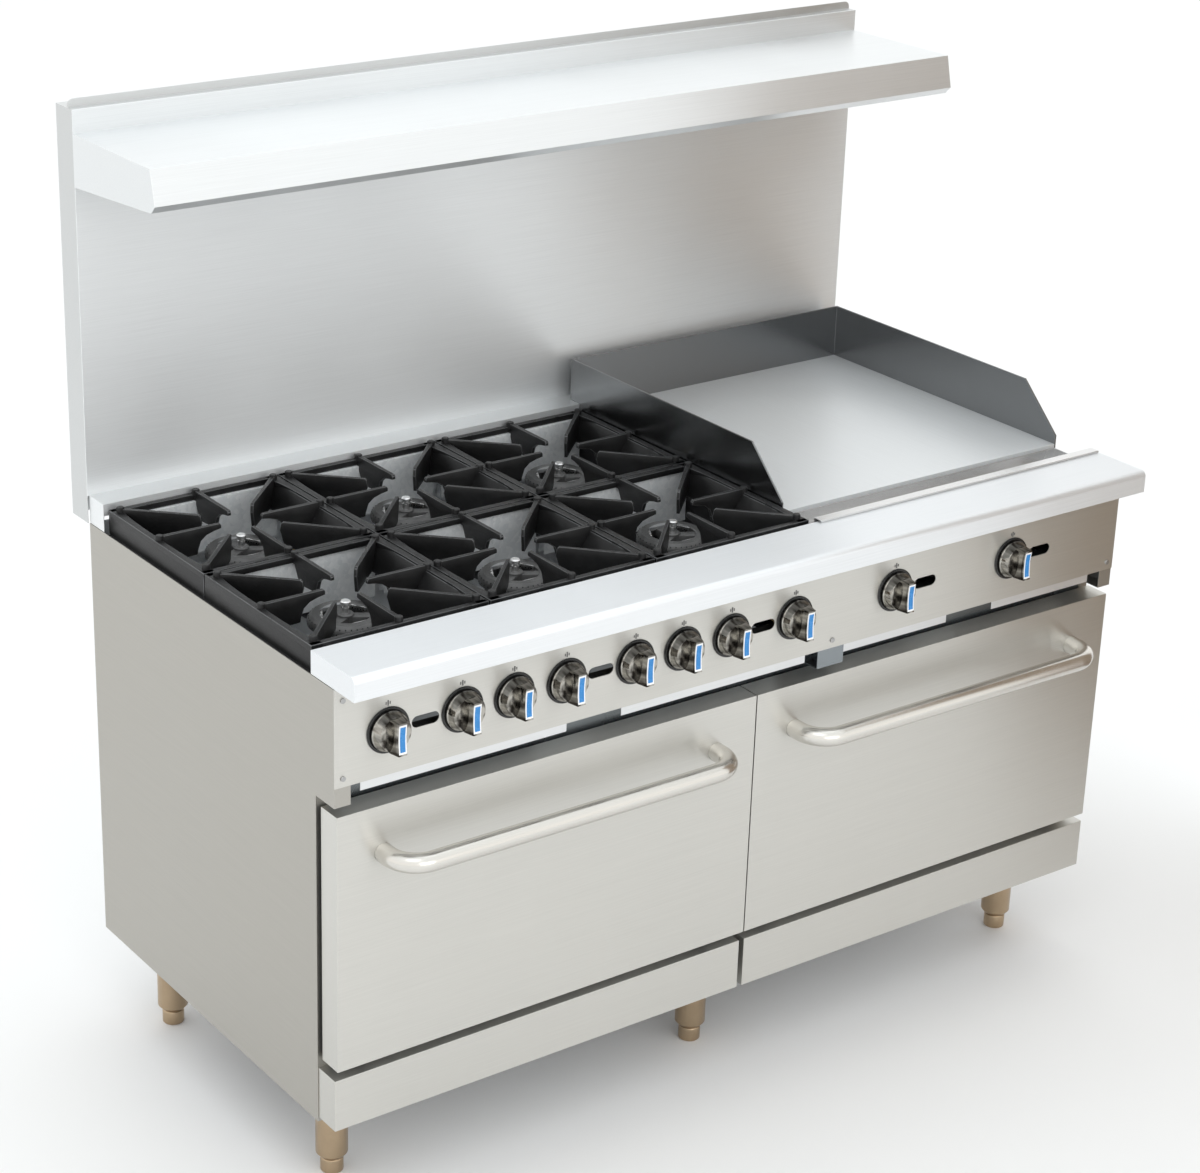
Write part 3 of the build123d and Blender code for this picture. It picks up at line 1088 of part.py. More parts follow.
def door_hinge_brackets():
    """Fixed plates that reach from the face frame to the hinge pins."""
    solids = []
    for side in OVEN_X:
        for x in hinge_positions(side):
            x_range = (x - BRACKET_PLATE / 2, x + BRACKET_PLATE / 2)
            eye = rod((x_range[0], HINGE_Y, HINGE_Z), (x_range[1], HINGE_Y, HINGE_Z), EAR_RADIUS)
            arm = block(x_range, (HINGE_Y, FRAME_FRONT_Y), (HINGE_Z - EAR_RADIUS, HINGE_Z + EAR_RADIUS))
            foot = block((x - BRACKET_FOOT / 2, x + BRACKET_FOOT / 2), (FRAME_FRONT_Y - EAR_PLATE, FRAME_FRONT_Y),
                         (HINGE_Z - BRACKET_FOOT_HEIGHT / 2, HINGE_Z + BRACKET_FOOT_HEIGHT / 2))
            bore = rod((x_range[0] - 1, HINGE_Y, HINGE_Z), (x_range[1] + 1, HINGE_Y, HINGE_Z),
                       HINGE_PIN / 2 + RUNNING_CLEARANCE)
            solids.append(eye + [arm, foot] - bore)
    return solids


def door_handle(side):
    low, high = door_range(side)
    z = DOOR_TOP - HANDLE_DROP
    left_x, right_x = low + HANDLE_END_INSET, high - HANDLE_END_INSET
    bar_y = DOOR_FACE_Y - HANDLE_REACH
    path = FilletPolyline((left_x, DOOR_FACE_Y, z), (left_x, bar_y, z), (right_x, bar_y, z),
                          (right_x, DOOR_FACE_Y, z), radius=HANDLE_BEND)
    start = Plane(origin=(left_x, DOOR_FACE_Y, z), z_dir=(0, -1, 0))
    bar = sweep(start * Circle(HANDLE_TUBE / 2), path=path)
    return bar - sweep(start * Circle(HANDLE_TUBE / 2 - HANDLE_WALL), path=path)


# ---------------------------------------------------------------- crumb trays
def crumb_tray(side):
    low, high = tray_ranges()[side]
    front_y = PANEL_FACE_Y + TRAY_SETBACK
    pan_y = (front_y + TRAY_LIP_REACH, front_y + TRAY_LENGTH)
    outer = block((low, high), pan_y, (TRAY_BOTTOM, TRAY_TOP))
    inner = block((low + SHEET, high - SHEET), (pan_y[0] + SHEET, pan_y[1] - SHEET),
                  (TRAY_BOTTOM + SHEET, TRAY_TOP + 1))
    lip = block((low, high), (front_y, front_y + SHEET), (TRAY_BOTTOM, TRAY_TOP))
    cover = block((low, high), (front_y, pan_y[0] + SHEET), (TRAY_TOP - SHEET, TRAY_TOP))
    notch_x = (low + high) / 2
    notch = block((notch_x - TRAY_NOTCH / 2, notch_x + TRAY_NOTCH / 2), (front_y - 1, front_y + SHEET + 1),
                  (TRAY_BOTTOM - 1, TRAY_BOTTOM + TRAY_NOTCH_HEIGHT))
    return outer - inner + [lip, cover] - notch


# ---------------------------------------------------------------- knobs
def knob(x):
    """A knob with its coloured insert and its stem, at the off position."""
    back = PANEL_FACE_Y - BEZEL_THICKNESS - SHADOW_GAP / 2
    face = back - KNOB_SKIRT_DEPTH
    end = face - KNOB_GRIP_DEPTH
    skirt = loft([
        Plane(origin=(x, back, KNOB_Z), z_dir=(0, -1, 0)) * Circle(KNOB_SKIRT / 2),
        Plane(origin=(x, face, KNOB_Z), z_dir=(0, -1, 0)) * Circle(KNOB_FACE / 2),
    ])
    grip = loft([
        Plane(origin=(x, face + 1, KNOB_Z), x_dir=(1, 0, 0), z_dir=(0, -1, 0)) * Rectangle(KNOB_GRIP_BASE, KNOB_FACE),
        Plane(origin=(x, end, KNOB_Z), x_dir=(1, 0, 0), z_dir=(0, -1, 0)) * Rectangle(KNOB_GRIP_EDGE, KNOB_FACE),
    ])
    grip &= rod((x, back, KNOB_Z), (x, end - 1, KNOB_Z), KNOB_FACE / 2 - 1)
    insert_half = KNOB_GRIP_EDGE / 2 - KNOB_INSERT_EDGE
    insert_reach = KNOB_FACE / 2 - KNOB_INSERT_END
    insert = block((x - insert_half, x + insert_half), (end, end + KNOB_INSERT),
                   (KNOB_Z - insert_reach, KNOB_Z + insert_reach))
    stem_end = VALVE_Y - VALVE_FRONT + STEM_SEAT - SHADOW_GAP
    stem = rod((x, back, KNOB_Z), (x, stem_end, KNOB_Z), STEM / 2)
    return [skirt + grip - insert + stem, insert]


# ---------------------------------------------------------------- writing the sub-parts
SUBPARTS = {
    "side_panel_left": side_panel_left(),
    "side_panel_right": side_panel_right(),
    "rear_panel": rear_panel(),
    "base_frame": base_frame(),
    "oven_face_frame": oven_face_frame(),
    "control_panel": control_panel(),
    "knob_bezels": knob_bezels(),
    "panel_screws": panel_screws(),
    "bullnose_ledge": bullnose_ledge(),
    "kick_panels": kick_panels(),
    "legs": legs(),
    "feet": feet(),
    "gas_manifold": gas_manifold(),
    "gas_valves": gas_valves(),
    "oven_thermostats": oven_thermostats(),
    "open_burners": open_burners(),
    "burner_heads": burner_heads(),
    "pilot_burners": pilot_burners(),
    "cooktop_frame": cooktop_frame(),
    "heat_shields": heat_shields(),
    "griddle_plate": griddle_plate(),
    "griddle_splash": griddle_splash(),
    "grease_gutter": grease_gutter(),
    "griddle_burners": griddle_burners(),
    "rear_deck": rear_deck(),
    "backguard_panel": backguard_panel(),
    "backguard_riser": backguard_riser(),
    "shelf": shelf(),
    "oven_floors": oven_floors(),
    "oven_burners": oven_burners(),
    "rack_guides": rack_guides(),
    "door_hinge_brackets": door_hinge_brackets(),
}
for side in OVEN_X:
    SUBPARTS[f"oven_liner_{side}"] = oven_liner(side)
    SUBPARTS[f"oven_rack_{side}"] = oven_rack(side)
    SUBPARTS[f"door_shell_{side}"] = door_shell(side)
    SUBPARTS[f"door_liner_{side}"] = door_liner(side)
    SUBPARTS[f"door_handle_{side}"] = door_handle(side)
    SUBPARTS[f"crumb_tray_{side}"] = crumb_tray(side)

GRATE_SHAPE = grate()
for row_name, y in zip(("front", "rear"), ROW_Y):
    for number, x in enumerate(COLUMN_X, start=1):
        SUBPARTS[f"grate_{row_name}_{number}"] = Pos(x, y, 0) * GRATE_SHAPE

for number, (x, use) in enumerate(KNOB_SPOTS, start=1):
    SUBPARTS[f"knob_{number:02d}_{use}"] = knob(x)

os.makedirs("parts", exist_ok=True)
for name, shape in SUBPARTS.items():
    if isinstance(shape, list):
        shape = Compound(children=shape)
    export_step(shape, f"parts/{name}.step")
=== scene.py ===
import json
import math

import bmesh
import bpy
from mathutils import Euler, Matrix, Vector

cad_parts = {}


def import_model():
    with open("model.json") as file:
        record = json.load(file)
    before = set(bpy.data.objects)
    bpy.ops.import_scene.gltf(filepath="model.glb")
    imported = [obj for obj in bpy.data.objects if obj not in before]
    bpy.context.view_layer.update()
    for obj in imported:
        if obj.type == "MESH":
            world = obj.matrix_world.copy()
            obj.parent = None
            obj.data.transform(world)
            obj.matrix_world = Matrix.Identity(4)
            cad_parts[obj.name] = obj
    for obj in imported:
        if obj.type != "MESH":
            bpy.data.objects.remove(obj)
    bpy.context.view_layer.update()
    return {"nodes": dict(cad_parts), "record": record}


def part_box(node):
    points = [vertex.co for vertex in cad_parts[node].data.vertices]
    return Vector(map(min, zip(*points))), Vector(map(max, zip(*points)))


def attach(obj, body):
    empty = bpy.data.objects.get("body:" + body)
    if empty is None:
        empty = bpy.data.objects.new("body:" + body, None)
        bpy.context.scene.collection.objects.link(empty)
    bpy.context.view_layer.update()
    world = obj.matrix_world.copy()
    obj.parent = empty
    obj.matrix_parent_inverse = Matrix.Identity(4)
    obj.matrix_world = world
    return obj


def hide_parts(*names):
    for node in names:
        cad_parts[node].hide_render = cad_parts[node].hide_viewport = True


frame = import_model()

NODES = frame["nodes"]
BODY_OF_NODE = {node: body
                for body, nodes in frame["record"]["behaviour"]["bodies"].items()
                for node in nodes}
SLOT_OF_NODE = {row["node"]: row["material_slot"] for row in frame["record"]["subparts"]}


# ---------------------------------------------------------------- material building blocks
class Shader:
    """A principled material with short calls for the nodes that these finishes use."""

    def __init__(self, name):
        self.material = bpy.data.materials.new(name)
        self.material.use_nodes = True
        self.nodes = self.material.node_tree.nodes
        self.links = self.material.node_tree.links
        self.surface = self.nodes["Principled BSDF"]
        self.place = self.nodes.new("ShaderNodeTexCoord").outputs["Object"]

    def set(self, **constants):
        for socket, value in constants.items():
            self.surface.inputs[socket.replace("_", " ")].default_value = value

    def stretched(self, scale):
        mapping = self.nodes.new("ShaderNodeMapping")
        mapping.inputs["Scale"].default_value = scale
        self.links.new(self.place, mapping.inputs["Vector"])
        return mapping.outputs["Vector"]

    def noise(self, scale, detail=4.0, roughness=0.55, stretch=None):
        node = self.nodes.new("ShaderNodeTexNoise")
        node.inputs["Scale"].default_value = scale
        node.inputs["Detail"].default_value = detail
        node.inputs["Roughness"].default_value = roughness
        self.links.new(self.stretched(stretch) if stretch else self.place, node.inputs["Vector"])
        return node.outputs["Fac"]

    def cells(self, scale, output="Color", randomness=1.0):
        node = self.nodes.new("ShaderNodeTexVoronoi")
        node.inputs["Scale"].default_value = scale
        node.inputs["Randomness"].default_value = randomness
        self.links.new(self.place, node.inputs["Vector"])
        return node.outputs[output]

    def ramp(self, value, low, high, to_low, to_high):
        node = self.nodes.new("ShaderNodeMapRange")
        self.links.new(value, node.inputs["Value"])
        for socket, number in (("From Min", low), ("From Max", high),
                               ("To Min", to_low), ("To Max", to_high)):
            node.inputs[socket].default_value = number
        return node.outputs["Result"]

    def mix(self, factor, colour_a, colour_b):
        node = self.nodes.new("ShaderNodeMix")
        node.data_type = "RGBA"
        self.links.new(factor, node.inputs["Factor"])
        for socket, colour in (("A", colour_a), ("B", colour_b)):
            target = next(i for i in node.inputs if i.name == socket and i.type == "RGBA")
            if isinstance(colour, tuple):
                target.default_value = (*colour, 1.0)
            else:
                self.links.new(colour, target)
        return next(o for o in node.outputs if o.type == "RGBA")

    def math(self, operation, first, second):
        node = self.nodes.new("ShaderNodeMath")
        node.operation = operation
        for socket, value in zip(node.inputs, (first, second)):
            if isinstance(value, (int, float)):
                socket.default_value = value
            else:
                self.links.new(value, socket)
        return node.outputs[0]

    def bump(self, height, strength, distance):
        node = self.nodes.new("ShaderNodeBump")
        node.inputs["Strength"].default_value = strength
        node.inputs["Distance"].default_value = distance
        self.links.new(height, node.inputs["Height"])
        self.links.new(node.outputs["Normal"], self.surface.inputs["Normal"])

    def feed(self, socket, value):
        self.links.new(value, self.surface.inputs[socket])


def brushed(name, tint, roughness, grain, streak=0.04, across=None, metallic=0.9):
    """Brushed sheet: fine lines along one axis, slow cloudy patches that are part wear and part painted
    reflection, and a slight change of tint.

    across is the direction in which the lines scatter light, for a strongly brushed sheet.
    """
    s = Shader(name)
    s.set(Metallic=metallic)
    if across:
        s.set(Anisotropic=0.85)
        direction = s.nodes.new("ShaderNodeCombineXYZ")
        for socket, value in zip(direction.inputs, across):
            socket.default_value = value
        s.feed("Tangent", direction.outputs["Vector"])
    lines = s.noise(1.0, 3.0, 0.6, stretch=grain)
    cloud_wear_and_sheen = s.noise(2.2, 3.0)
    dark = tuple(c * (1 - 2 * streak) for c in tint)
    worn = s.mix(s.ramp(lines, 0.25, 0.75, 0, 1), dark, tint)
    # The cloudy patches lighten the tint by 6 percent: part wear, part painted reflection.
    s.feed("Base Color", s.mix(s.ramp(cloud_wear_and_sheen, 0.35, 0.7, 0, 0.35), worn,
                               tuple(min(1, c * 1.06) for c in tint)))
    s.feed("Roughness", s.ramp(cloud_wear_and_sheen, 0.3, 0.7, roughness - 0.04, roughness + 0.04))
    s.bump(lines, 0.1, 0.0003)
    return s.material


def cast_iron(name, tint, shine=0.42):
    s = Shader(name)
    s.set(Metallic=0.55)
    grit = s.noise(520.0, 5.0, 0.65)
    soot_and_highlight = s.noise(14.0, 5.0, 0.6)
    # Lighter patches up to 1.9 times the tint: part uneven burnt tone, part painted highlight.
    s.feed("Base Color", s.mix(s.ramp(soot_and_highlight, 0.35, 0.7, 0, 1), tint, tuple(c * 1.9 for c in tint)))
    s.feed("Roughness", s.ramp(soot_and_highlight, 0.3, 0.75, shine, shine + 0.16))
    s.bump(grit, 0.45, 0.0012)
    return s.material


def galvanised(name):
    s = Shader(name)
    s.set(Metallic=0.15)
    spangle = s.cells(150.0)
    fine = s.noise(160.0, 3.0)
    shade = s.mix(s.ramp(spangle, 0, 1, 0, 1), (0.74, 0.77, 0.79), (0.90, 0.92, 0.93))
    s.feed("Base Color", shade)
    s.feed("Roughness", s.ramp(fine, 0.3, 0.7, 0.34, 0.5))
    s.bump(fine, 0.1, 0.0004)
    return s.material


def plain_metal(name, tint, roughness, metallic=1.0, grit_scale=300.0, grit=0.1):
    s = Shader(name)
    s.set(Metallic=metallic)
    fine = s.noise(grit_scale, 4.0)
    wear = s.noise(11.0, 5.0, 0.65)
    s.feed("Base Color", s.mix(s.ramp(wear, 0.35, 0.7, 0, 1), tint, tuple(min(1, c * 1.18) for c in tint)))
    s.feed("Roughness", s.ramp(wear, 0.3, 0.7, roughness, roughness + 0.09))
    s.bump(fine, grit, 0.0004)
    return s.material


def chrome_painted_reflections(name, dark, light):
    """Plated metal turned on its axis, with painted reflections: light and dark streaks that run along the
    axis.
    """
    s = Shader(name)
    s.set(Metallic=1.0)
    streaks = s.noise(1.0, 2.0, 0.5, stretch=(75.0, 75.0, 9.0))
    fine = s.noise(260.0, 3.0)
    s.feed("Base Color", s.mix(s.ramp(streaks, 0.36, 0.62, 0, 1), dark, light))
    s.feed("Roughness", s.ramp(fine, 0.3, 0.7, 0.07, 0.13))
    s.bump(fine, 0.02, 0.0002)
    return s.material


def enamel(name):
    s = Shader(name)
    s.set(Metallic=0.0)
    s.set(Coat_Weight=0.4)
    flecks = s.ramp(s.noise(420.0, 2.0), 0.62, 0.66, 0, 1)
    s.feed("Base Color", s.mix(flecks, (0.022, 0.026, 0.036), (0.32, 0.34, 0.38)))
    s.feed("Roughness", s.ramp(s.noise(12.0), 0.3, 0.7, 0.22, 0.38))
    s.bump(s.noise(90.0, 3.0), 0.15, 0.0006)
    return s.material


def moulded(name, tint, roughness):
    s = Shader(name)
    s.set(Metallic=0.0)
    grain = s.noise(900.0, 3.0)
    wear = s.noise(40.0, 4.0)
    s.feed("Base Color", s.mix(s.ramp(wear, 0.3, 0.75, 0, 1), tint,
                               tuple(min(1, c * 1.2 + 0.004) for c in tint)))
    s.feed("Roughness", s.ramp(wear, 0.3, 0.7, roughness - 0.05, roughness + 0.07))
    s.bump(grain, 0.12, 0.0002)
    return s.material


ALONG_X = (7.0, 900.0, 900.0)
ALONG_Y = (900.0, 7.0, 900.0)
UP_AND_BACK = (0.0, 0.7071, 0.7071)
UPRIGHT = (0.0, 0.0, 1.0)
WARM = (0.655, 0.645, 0.61)
# A brighter, cooler copy of the casing steel for the backguard: painted light.
COOL_PAINTED_LIGHT = (0.86, 0.88, 0.89)

FINISH = {
    "stainless_casing": brushed("stainless_casing", WARM, 0.36, ALONG_X, across=UP_AND_BACK),
    # The ledge top is the casing steel made brighter and cooler: painted light from the cool overhead light.
    "stainless_ledge_painted_light": brushed("stainless_ledge_painted_light", (0.80, 0.82, 0.84), 0.36, ALONG_X, across=UP_AND_BACK,
                               metallic=0.5),
    # The oven face frame's finish is the casing steel made dark and cool: painted shade for the shadowed band
    # above the doors.
    "stainless_frame_painted_shade": brushed("stainless_frame_painted_shade", (0.30, 0.33, 0.35), 0.28, ALONG_X, streak=0.12,
                               across=UP_AND_BACK),
    # The side panels are the casing steel made darker: painted shade.
    "stainless_side_painted_shade": brushed("stainless_side_painted_shade", (0.47, 0.455, 0.42), 0.42, ALONG_Y, across=UPRIGHT),
    "stainless_door": brushed("stainless_door", WARM, 0.34, ALONG_X, across=UP_AND_BACK),
    "stainless_backguard": brushed("stainless_backguard", COOL_PAINTED_LIGHT, 0.38, ALONG_X, across=UP_AND_BACK,
                                   metallic=0.72),
    # The riser is the backguard steel made darker: painted shade.
    "stainless_riser_painted_shade": brushed("stainless_riser_painted_shade", (0.66, 0.67, 0.67), 0.36, ALONG_X, across=UP_AND_BACK),
    # The shelf top is the casing steel made brighter and cooler: painted light from the cool overhead light.
    "stainless_shelf_painted_light": brushed("stainless_shelf_painted_light", (0.80, 0.82, 0.83), 0.34, ALONG_X, across=UP_AND_BACK,
                               metallic=0.7),
    "handle_stainless": brushed("handle_stainless", (0.70, 0.68, 0.64), 0.24, ALONG_X),
    "cast_iron_grate": cast_iron("cast_iron_grate", (0.019, 0.019, 0.0195), 0.30),
    # The grates' edge finish is much lighter than the grate: part rubbed wear, part painted highlight on the
    # edges.
    "cast_iron_worn_highlit": cast_iron("cast_iron_worn_highlit", (0.085, 0.087, 0.09), 0.24),
    "cast_iron_burner": cast_iron("cast_iron_burner", (0.02, 0.02, 0.022)),
    "burner_head_iron": cast_iron("burner_head_iron", (0.085, 0.085, 0.085), 0.34),
    "burner_plate": cast_iron("burner_plate", (0.22, 0.225, 0.23), 0.36),
    "machined_face": plain_metal("machined_face", (0.72, 0.72, 0.72), 0.24),
    "port_dark": moulded("port_dark", (0.004, 0.004, 0.004), 0.7),
    "galvanised_sheet": galvanised("galvanised_sheet"),
    "frame_black": plain_metal("frame_black", (0.03, 0.03, 0.032), 0.5, 0.3),
    "pipe_steel": plain_metal("pipe_steel", (0.06, 0.06, 0.06), 0.42, 0.6),
    "valve_brass": plain_metal("valve_brass", (0.62, 0.45, 0.2), 0.3),
    "griddle_steel": brushed("griddle_steel", (0.74, 0.76, 0.77), 0.38, ALONG_Y, metallic=0.45),
    "splash_steel": brushed("splash_steel", (0.25, 0.255, 0.26), 0.24, ALONG_Y, metallic=1.0),
    "gutter_steel": brushed("gutter_steel", (0.72, 0.72, 0.72), 0.26, ALONG_X),
    "rack_wire": plain_metal("rack_wire", (0.72, 0.72, 0.72), 0.16),
    "tray_steel": brushed("tray_steel", (0.78, 0.79, 0.80), 0.34, ALONG_X),
    "leg_nickel": plain_metal("leg_nickel", (0.44, 0.335, 0.225), 0.3),
    "screw_steel": plain_metal("screw_steel", (0.42, 0.42, 0.42), 0.3),
    # The knob's near-black and light streaks are painted reflections of the surroundings.
    "knob_chrome": chrome_painted_reflections("knob_chrome", (0.045, 0.04, 0.035), (0.46, 0.44, 0.40)),
    "knob_frame": plain_metal("knob_frame", (0.86, 0.88, 0.90), 0.4, 0.4),
    "bezel_black": moulded("bezel_black", (0.008, 0.008, 0.008), 0.22),
    "mark_dark": moulded("mark_dark", (0.10, 0.10, 0.10), 0.4),
    "insert_blue": moulded("insert_blue", (0.03, 0.21, 0.52), 0.3),
    "oven_enamel": enamel("oven_enamel"),
}


# ---------------------------------------------------------------- mesh building
def finished_object(name, bm, finish, body, place=(0, 0, 0), turn=None, angle=40):
    """Turns a bmesh into an object with its finish, shaded smooth except at sharp edges, riding on a body."""
    bmesh.ops.recalc_face_normals(bm, faces=bm.faces)
    mesh = bpy.data.meshes.new(name)
    bm.to_mesh(mesh)
    bm.free()
    mesh.shade_smooth()
    mesh.set_sharp_from_angle(angle=math.radians(angle))
    for each in finish if isinstance(finish, tuple) else (finish,):
        mesh.materials.append(FINISH[each])
    return placed_copy(name, mesh, body, place, turn)


def placed_copy(name, mesh, body, place=(0, 0, 0), turn=None):
    obj = bpy.data.objects.new(name, mesh)
    bpy.context.scene.collection.objects.link(obj)
    obj.matrix_world = Matrix.Translation(place) @ (turn or Matrix.Identity(4))
    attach(obj, body)
    return obj


def lathe(bm, profile, segments=72, turn=None, cap_low=True, cap_high=True):
    """Adds a surface of revolution about Z; profile is (radius, height) from one end to the other."""
    rings = []
    for radius, height in profile:
        ring = []
        for i in range(segments):
            angle = 2 * math.pi * i / segments
            point = Vector((radius * math.cos(angle), radius * math.sin(angle), height))
            ring.append(bm.verts.new(turn @ point if turn else point))
        rings.append(ring)
    for low, high in zip(rings, rings[1:]):
        for i in range(segments):
            j = (i + 1) % segments
            bm.faces.new((low[i], low[j], high[j], high[i]))
    if cap_low:
        bm.faces.new(rings[0])
    if cap_high:
        bm.faces.new(rings[-1])


def prism(bm, outline, thickness, turn, bevel=0.0, taper=1.0, edge=0):
    """Adds an outline in local (x, z), given a thickness along y about its middle, then turned into place.

    With a taper below 1 the far side of the outline, its highest x, is that much thinner.
    edge is the material slot of the bevelled edges.
    """
    part = bmesh.new()
    xs = [x for x, z in outline]
    low, high = min(xs), max(xs)

    def half(x):
        return thickness / 2 * (taper + (1 - taper) * (x - low) / (high - low))

    sides = [[part.verts.new((x, side * half(x), z)) for x, z in outline] for side in (-1, 1)]
    part.faces.new(sides[0])
    part.faces.new(sides[1][::-1])
    count = len(outline)
    for i in range(count):
        j = (i + 1) % count
        part.faces.new((sides[0][i], sides[0][j], sides[1][j], sides[1][i]))
    bmesh.ops.recalc_face_normals(part, faces=part.faces)
    if bevel:
        bmesh.ops.bevel(part, geom=list(part.edges), offset=bevel, segments=2, affect="EDGES",
                        clamp_overlap=True, profile=0.6, material=edge)
    part.transform(turn)
    merge(bm, part)


def box(bm, x_range, y_range, z_range, bevel=0.0, turn=None, edge=0):
    part = bmesh.new()
    corners = [(x, y, z) for x in x_range for y in y_range for z in z_range]
    verts = [part.verts.new(corner) for corner in corners]
    for face in ((0, 1, 3, 2), (4, 6, 7, 5), (0, 4, 5, 1), (2, 3, 7, 6), (0, 2, 6, 4), (1, 5, 7, 3)):
        part.faces.new([verts[i] for i in face])
    bmesh.ops.recalc_face_normals(part, faces=part.faces)
    if bevel:
        bmesh.ops.bevel(part, geom=list(part.edges), offset=bevel, segments=2, affect="EDGES", profile=0.6,
                        material=edge)
    if turn:
        part.transform(turn)
    merge(bm, part)


def merge(bm, part):
    mesh = bpy.data.meshes.new("part")
    part.to_mesh(mesh)
    part.free()
    bm.from_mesh(mesh)
    bpy.data.meshes.remove(mesh)


def turned(degrees, axis="Z"):
    return Matrix.Rotation(math.radians(degrees), 4, axis)


def centre(node):
    low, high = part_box(node)
    return (low + high) / 2


# ---------------------------------------------------------------- CAD nodes
def dress(node, finish, bevel):
    """Gives a CAD node its finish and softens its edges with modifiers."""
    obj = NODES[node]
    obj.data.materials.clear()
    obj.data.materials.append(FINISH[finish])
    for face in obj.data.polygons:
        face.material_index = 0
    weld = obj.modifiers.new("weld", "WELD")
    weld.merge_threshold = 0.00001
    flat = obj.modifiers.new("flat", "DECIMATE")
    flat.decimate_type = "DISSOLVE"
    flat.angle_limit = math.radians(1.0)
    edge = obj.modifiers.new("edge", "BEVEL")
    edge.width = bevel
    edge.segments = 2
    edge.limit_method = "ANGLE"
    edge.angle_limit = math.radians(35)
    edge.harden_normals = True


# These per-node finishes are lighter or darker copies of one steel: painted light and painted shade.
FINISH_OF_NODE = {
    "side_panel_left": "stainless_side_painted_shade",
    "side_panel_right": "stainless_side_painted_shade",
    "bullnose_ledge": "stainless_ledge_painted_light",
    "shelf": "stainless_shelf_painted_light",
    "backguard_riser": "stainless_riser_painted_shade",
    "oven_face_frame": "stainless_frame_painted_shade",
}
for node in NODES:
    dress(node, FINISH_OF_NODE.get(node, SLOT_OF_NODE[node]), 0.0005)


# ---------------------------------------------------------------- grates
NUB_RISE = 0.0018          # round ends above the fingers
WORN_HIGHLIT = 1                   # material slot of the rubbed edges, lighter from wear and from painted highlight
GRATE_FINISH = ("cast_iron_grate", "cast_iron_worn_highlit")


def grate_mesh(width, length, top, finger_top, bottom):
    """A cast grate about its own middle.

    It has a rim, skirts, sloping side walls, eight fingers and their round ends.
    """
    bm = bmesh.new()
    half_x, half_y = width / 2, length / 2
    side_bar, cross_bar, depth, wall = 0.011, 0.010, 0.010, 0.0045
    slope_foot, slope_end = 0.034, 0.0195
    finger = finger_top - NUB_RISE
    for side in (-1, 1):
        y_range = sorted((side * half_y, side * (half_y - cross_bar)))
        box(bm, (-half_x + 0.001, half_x - 0.001), y_range, (top - depth, top), 0.0009, edge=WORN_HIGHLIT)
        x_range = sorted((side * half_x, side * (half_x - wall)))
        box(bm, x_range, (-half_y, half_y), (bottom, top - 0.001), 0.0009, edge=WORN_HIGHLIT)
        curved_rim(bm, side, half_x, half_y, side_bar, top, depth)
    slope = [
        (half_x - side_bar - 0.001, top - 0.003),
        (half_x - side_bar + wall, top - 0.003),
        (half_x - slope_foot + wall, bottom + 0.0005),
        (half_x - slope_foot, bottom + 0.0005),
    ]
    for angle in (0, 180):
        prism(bm, slope, 2 * (half_y - slope_end), turned(angle), 0.0008, edge=WORN_HIGHLIT)
    for angle, reach in ((0, half_x), (90, half_y), (180, half_x), (270, half_y)):
        prism(bm, side_finger(reach, finger, bottom), 0.0075, turned(angle), 0.0007, 0.8, WORN_HIGHLIT)
        end_nub(bm, angle, reach - 0.008, finger_top)
    diagonal = (half_x - 0.010) * math.sqrt(2)
    for angle in (45, 135, 225, 315):
        prism(bm, corner_finger(diagonal, finger, bottom), 0.007, turned(angle), 0.0007, 0.75, WORN_HIGHLIT)
        end_nub(bm, angle, diagonal - 0.004, finger_top)
    return bm


def curved_rim(bm, side, half_x, half_y, rim, top, depth):
    """The flat top of one side of a grate, whose inner edge sweeps wider towards the corners."""
    steps = 14
    outer, inner = [], []
    for i in range(steps + 1):
        y = -half_y + 2 * half_y * i / steps
        swell = 0.010 * abs(y / half_y) ** 4
        outer.append((side * half_x, y))
        inner.append((side * (half_x - rim - swell), y))
    ring = outer + inner[::-1]
    part = bmesh.new()
    levels = [[part.verts.new((x, y, z)) for x, y in ring] for z in (top - depth, top)]
    count = len(outer)
    for i in range(count - 1):
        a, b = i, i + 1
        c, d = 2 * count - 2 - i, 2 * count - 1 - i
        part.faces.new([levels[1][k] for k in (a, b, c, d)])
        part.faces.new([levels[0][k] for k in (d, c, b, a)])
    for i in range(2 * count):
        j = (i + 1) % (2 * count)
        part.faces.new((levels[0][i], levels[0][j], levels[1][j], levels[1][i]))
    bmesh.ops.recalc_face_normals(part, faces=part.faces)
    edges = [e for e in part.edges if e.calc_face_angle(0) > 0.7]
    bmesh.ops.bevel(part, geom=edges, offset=0.0009, segments=2, affect="EDGES", profile=0.6, material=WORN_HIGHLIT)
    merge(bm, part)


def side_finger(reach, top, bottom):
    tip = 0.036
    return [
        (reach - 0.004, top),
        (tip + 0.002, top),
        (tip, top - 0.003),
        (tip, top - 0.008),
        (tip + 0.012, top - 0.010),
        (tip + 0.026, top - 0.014),
        (tip + 0.036, top - 0.022),
        (tip + 0.041, top - 0.036),
        (tip + 0.042, bottom + 0.004),
        (reach - 0.026, bottom + 0.001),
        (reach - 0.012, top - 0.018),
        (reach - 0.004, top - 0.018),
    ]


def corner_finger(reach, top, bottom):
    tip = 0.064
    return [
        (reach, top - 0.001),
        (tip + 0.003, top),
        (tip, top - 0.003),
        (tip - 0.002, top - 0.014),
        (tip + 0.006, bottom + 0.004),
        (reach - 0.034, bottom + 0.001),
        (reach - 0.010, top - 0.018),
        (reach, top - 0.018),
    ]


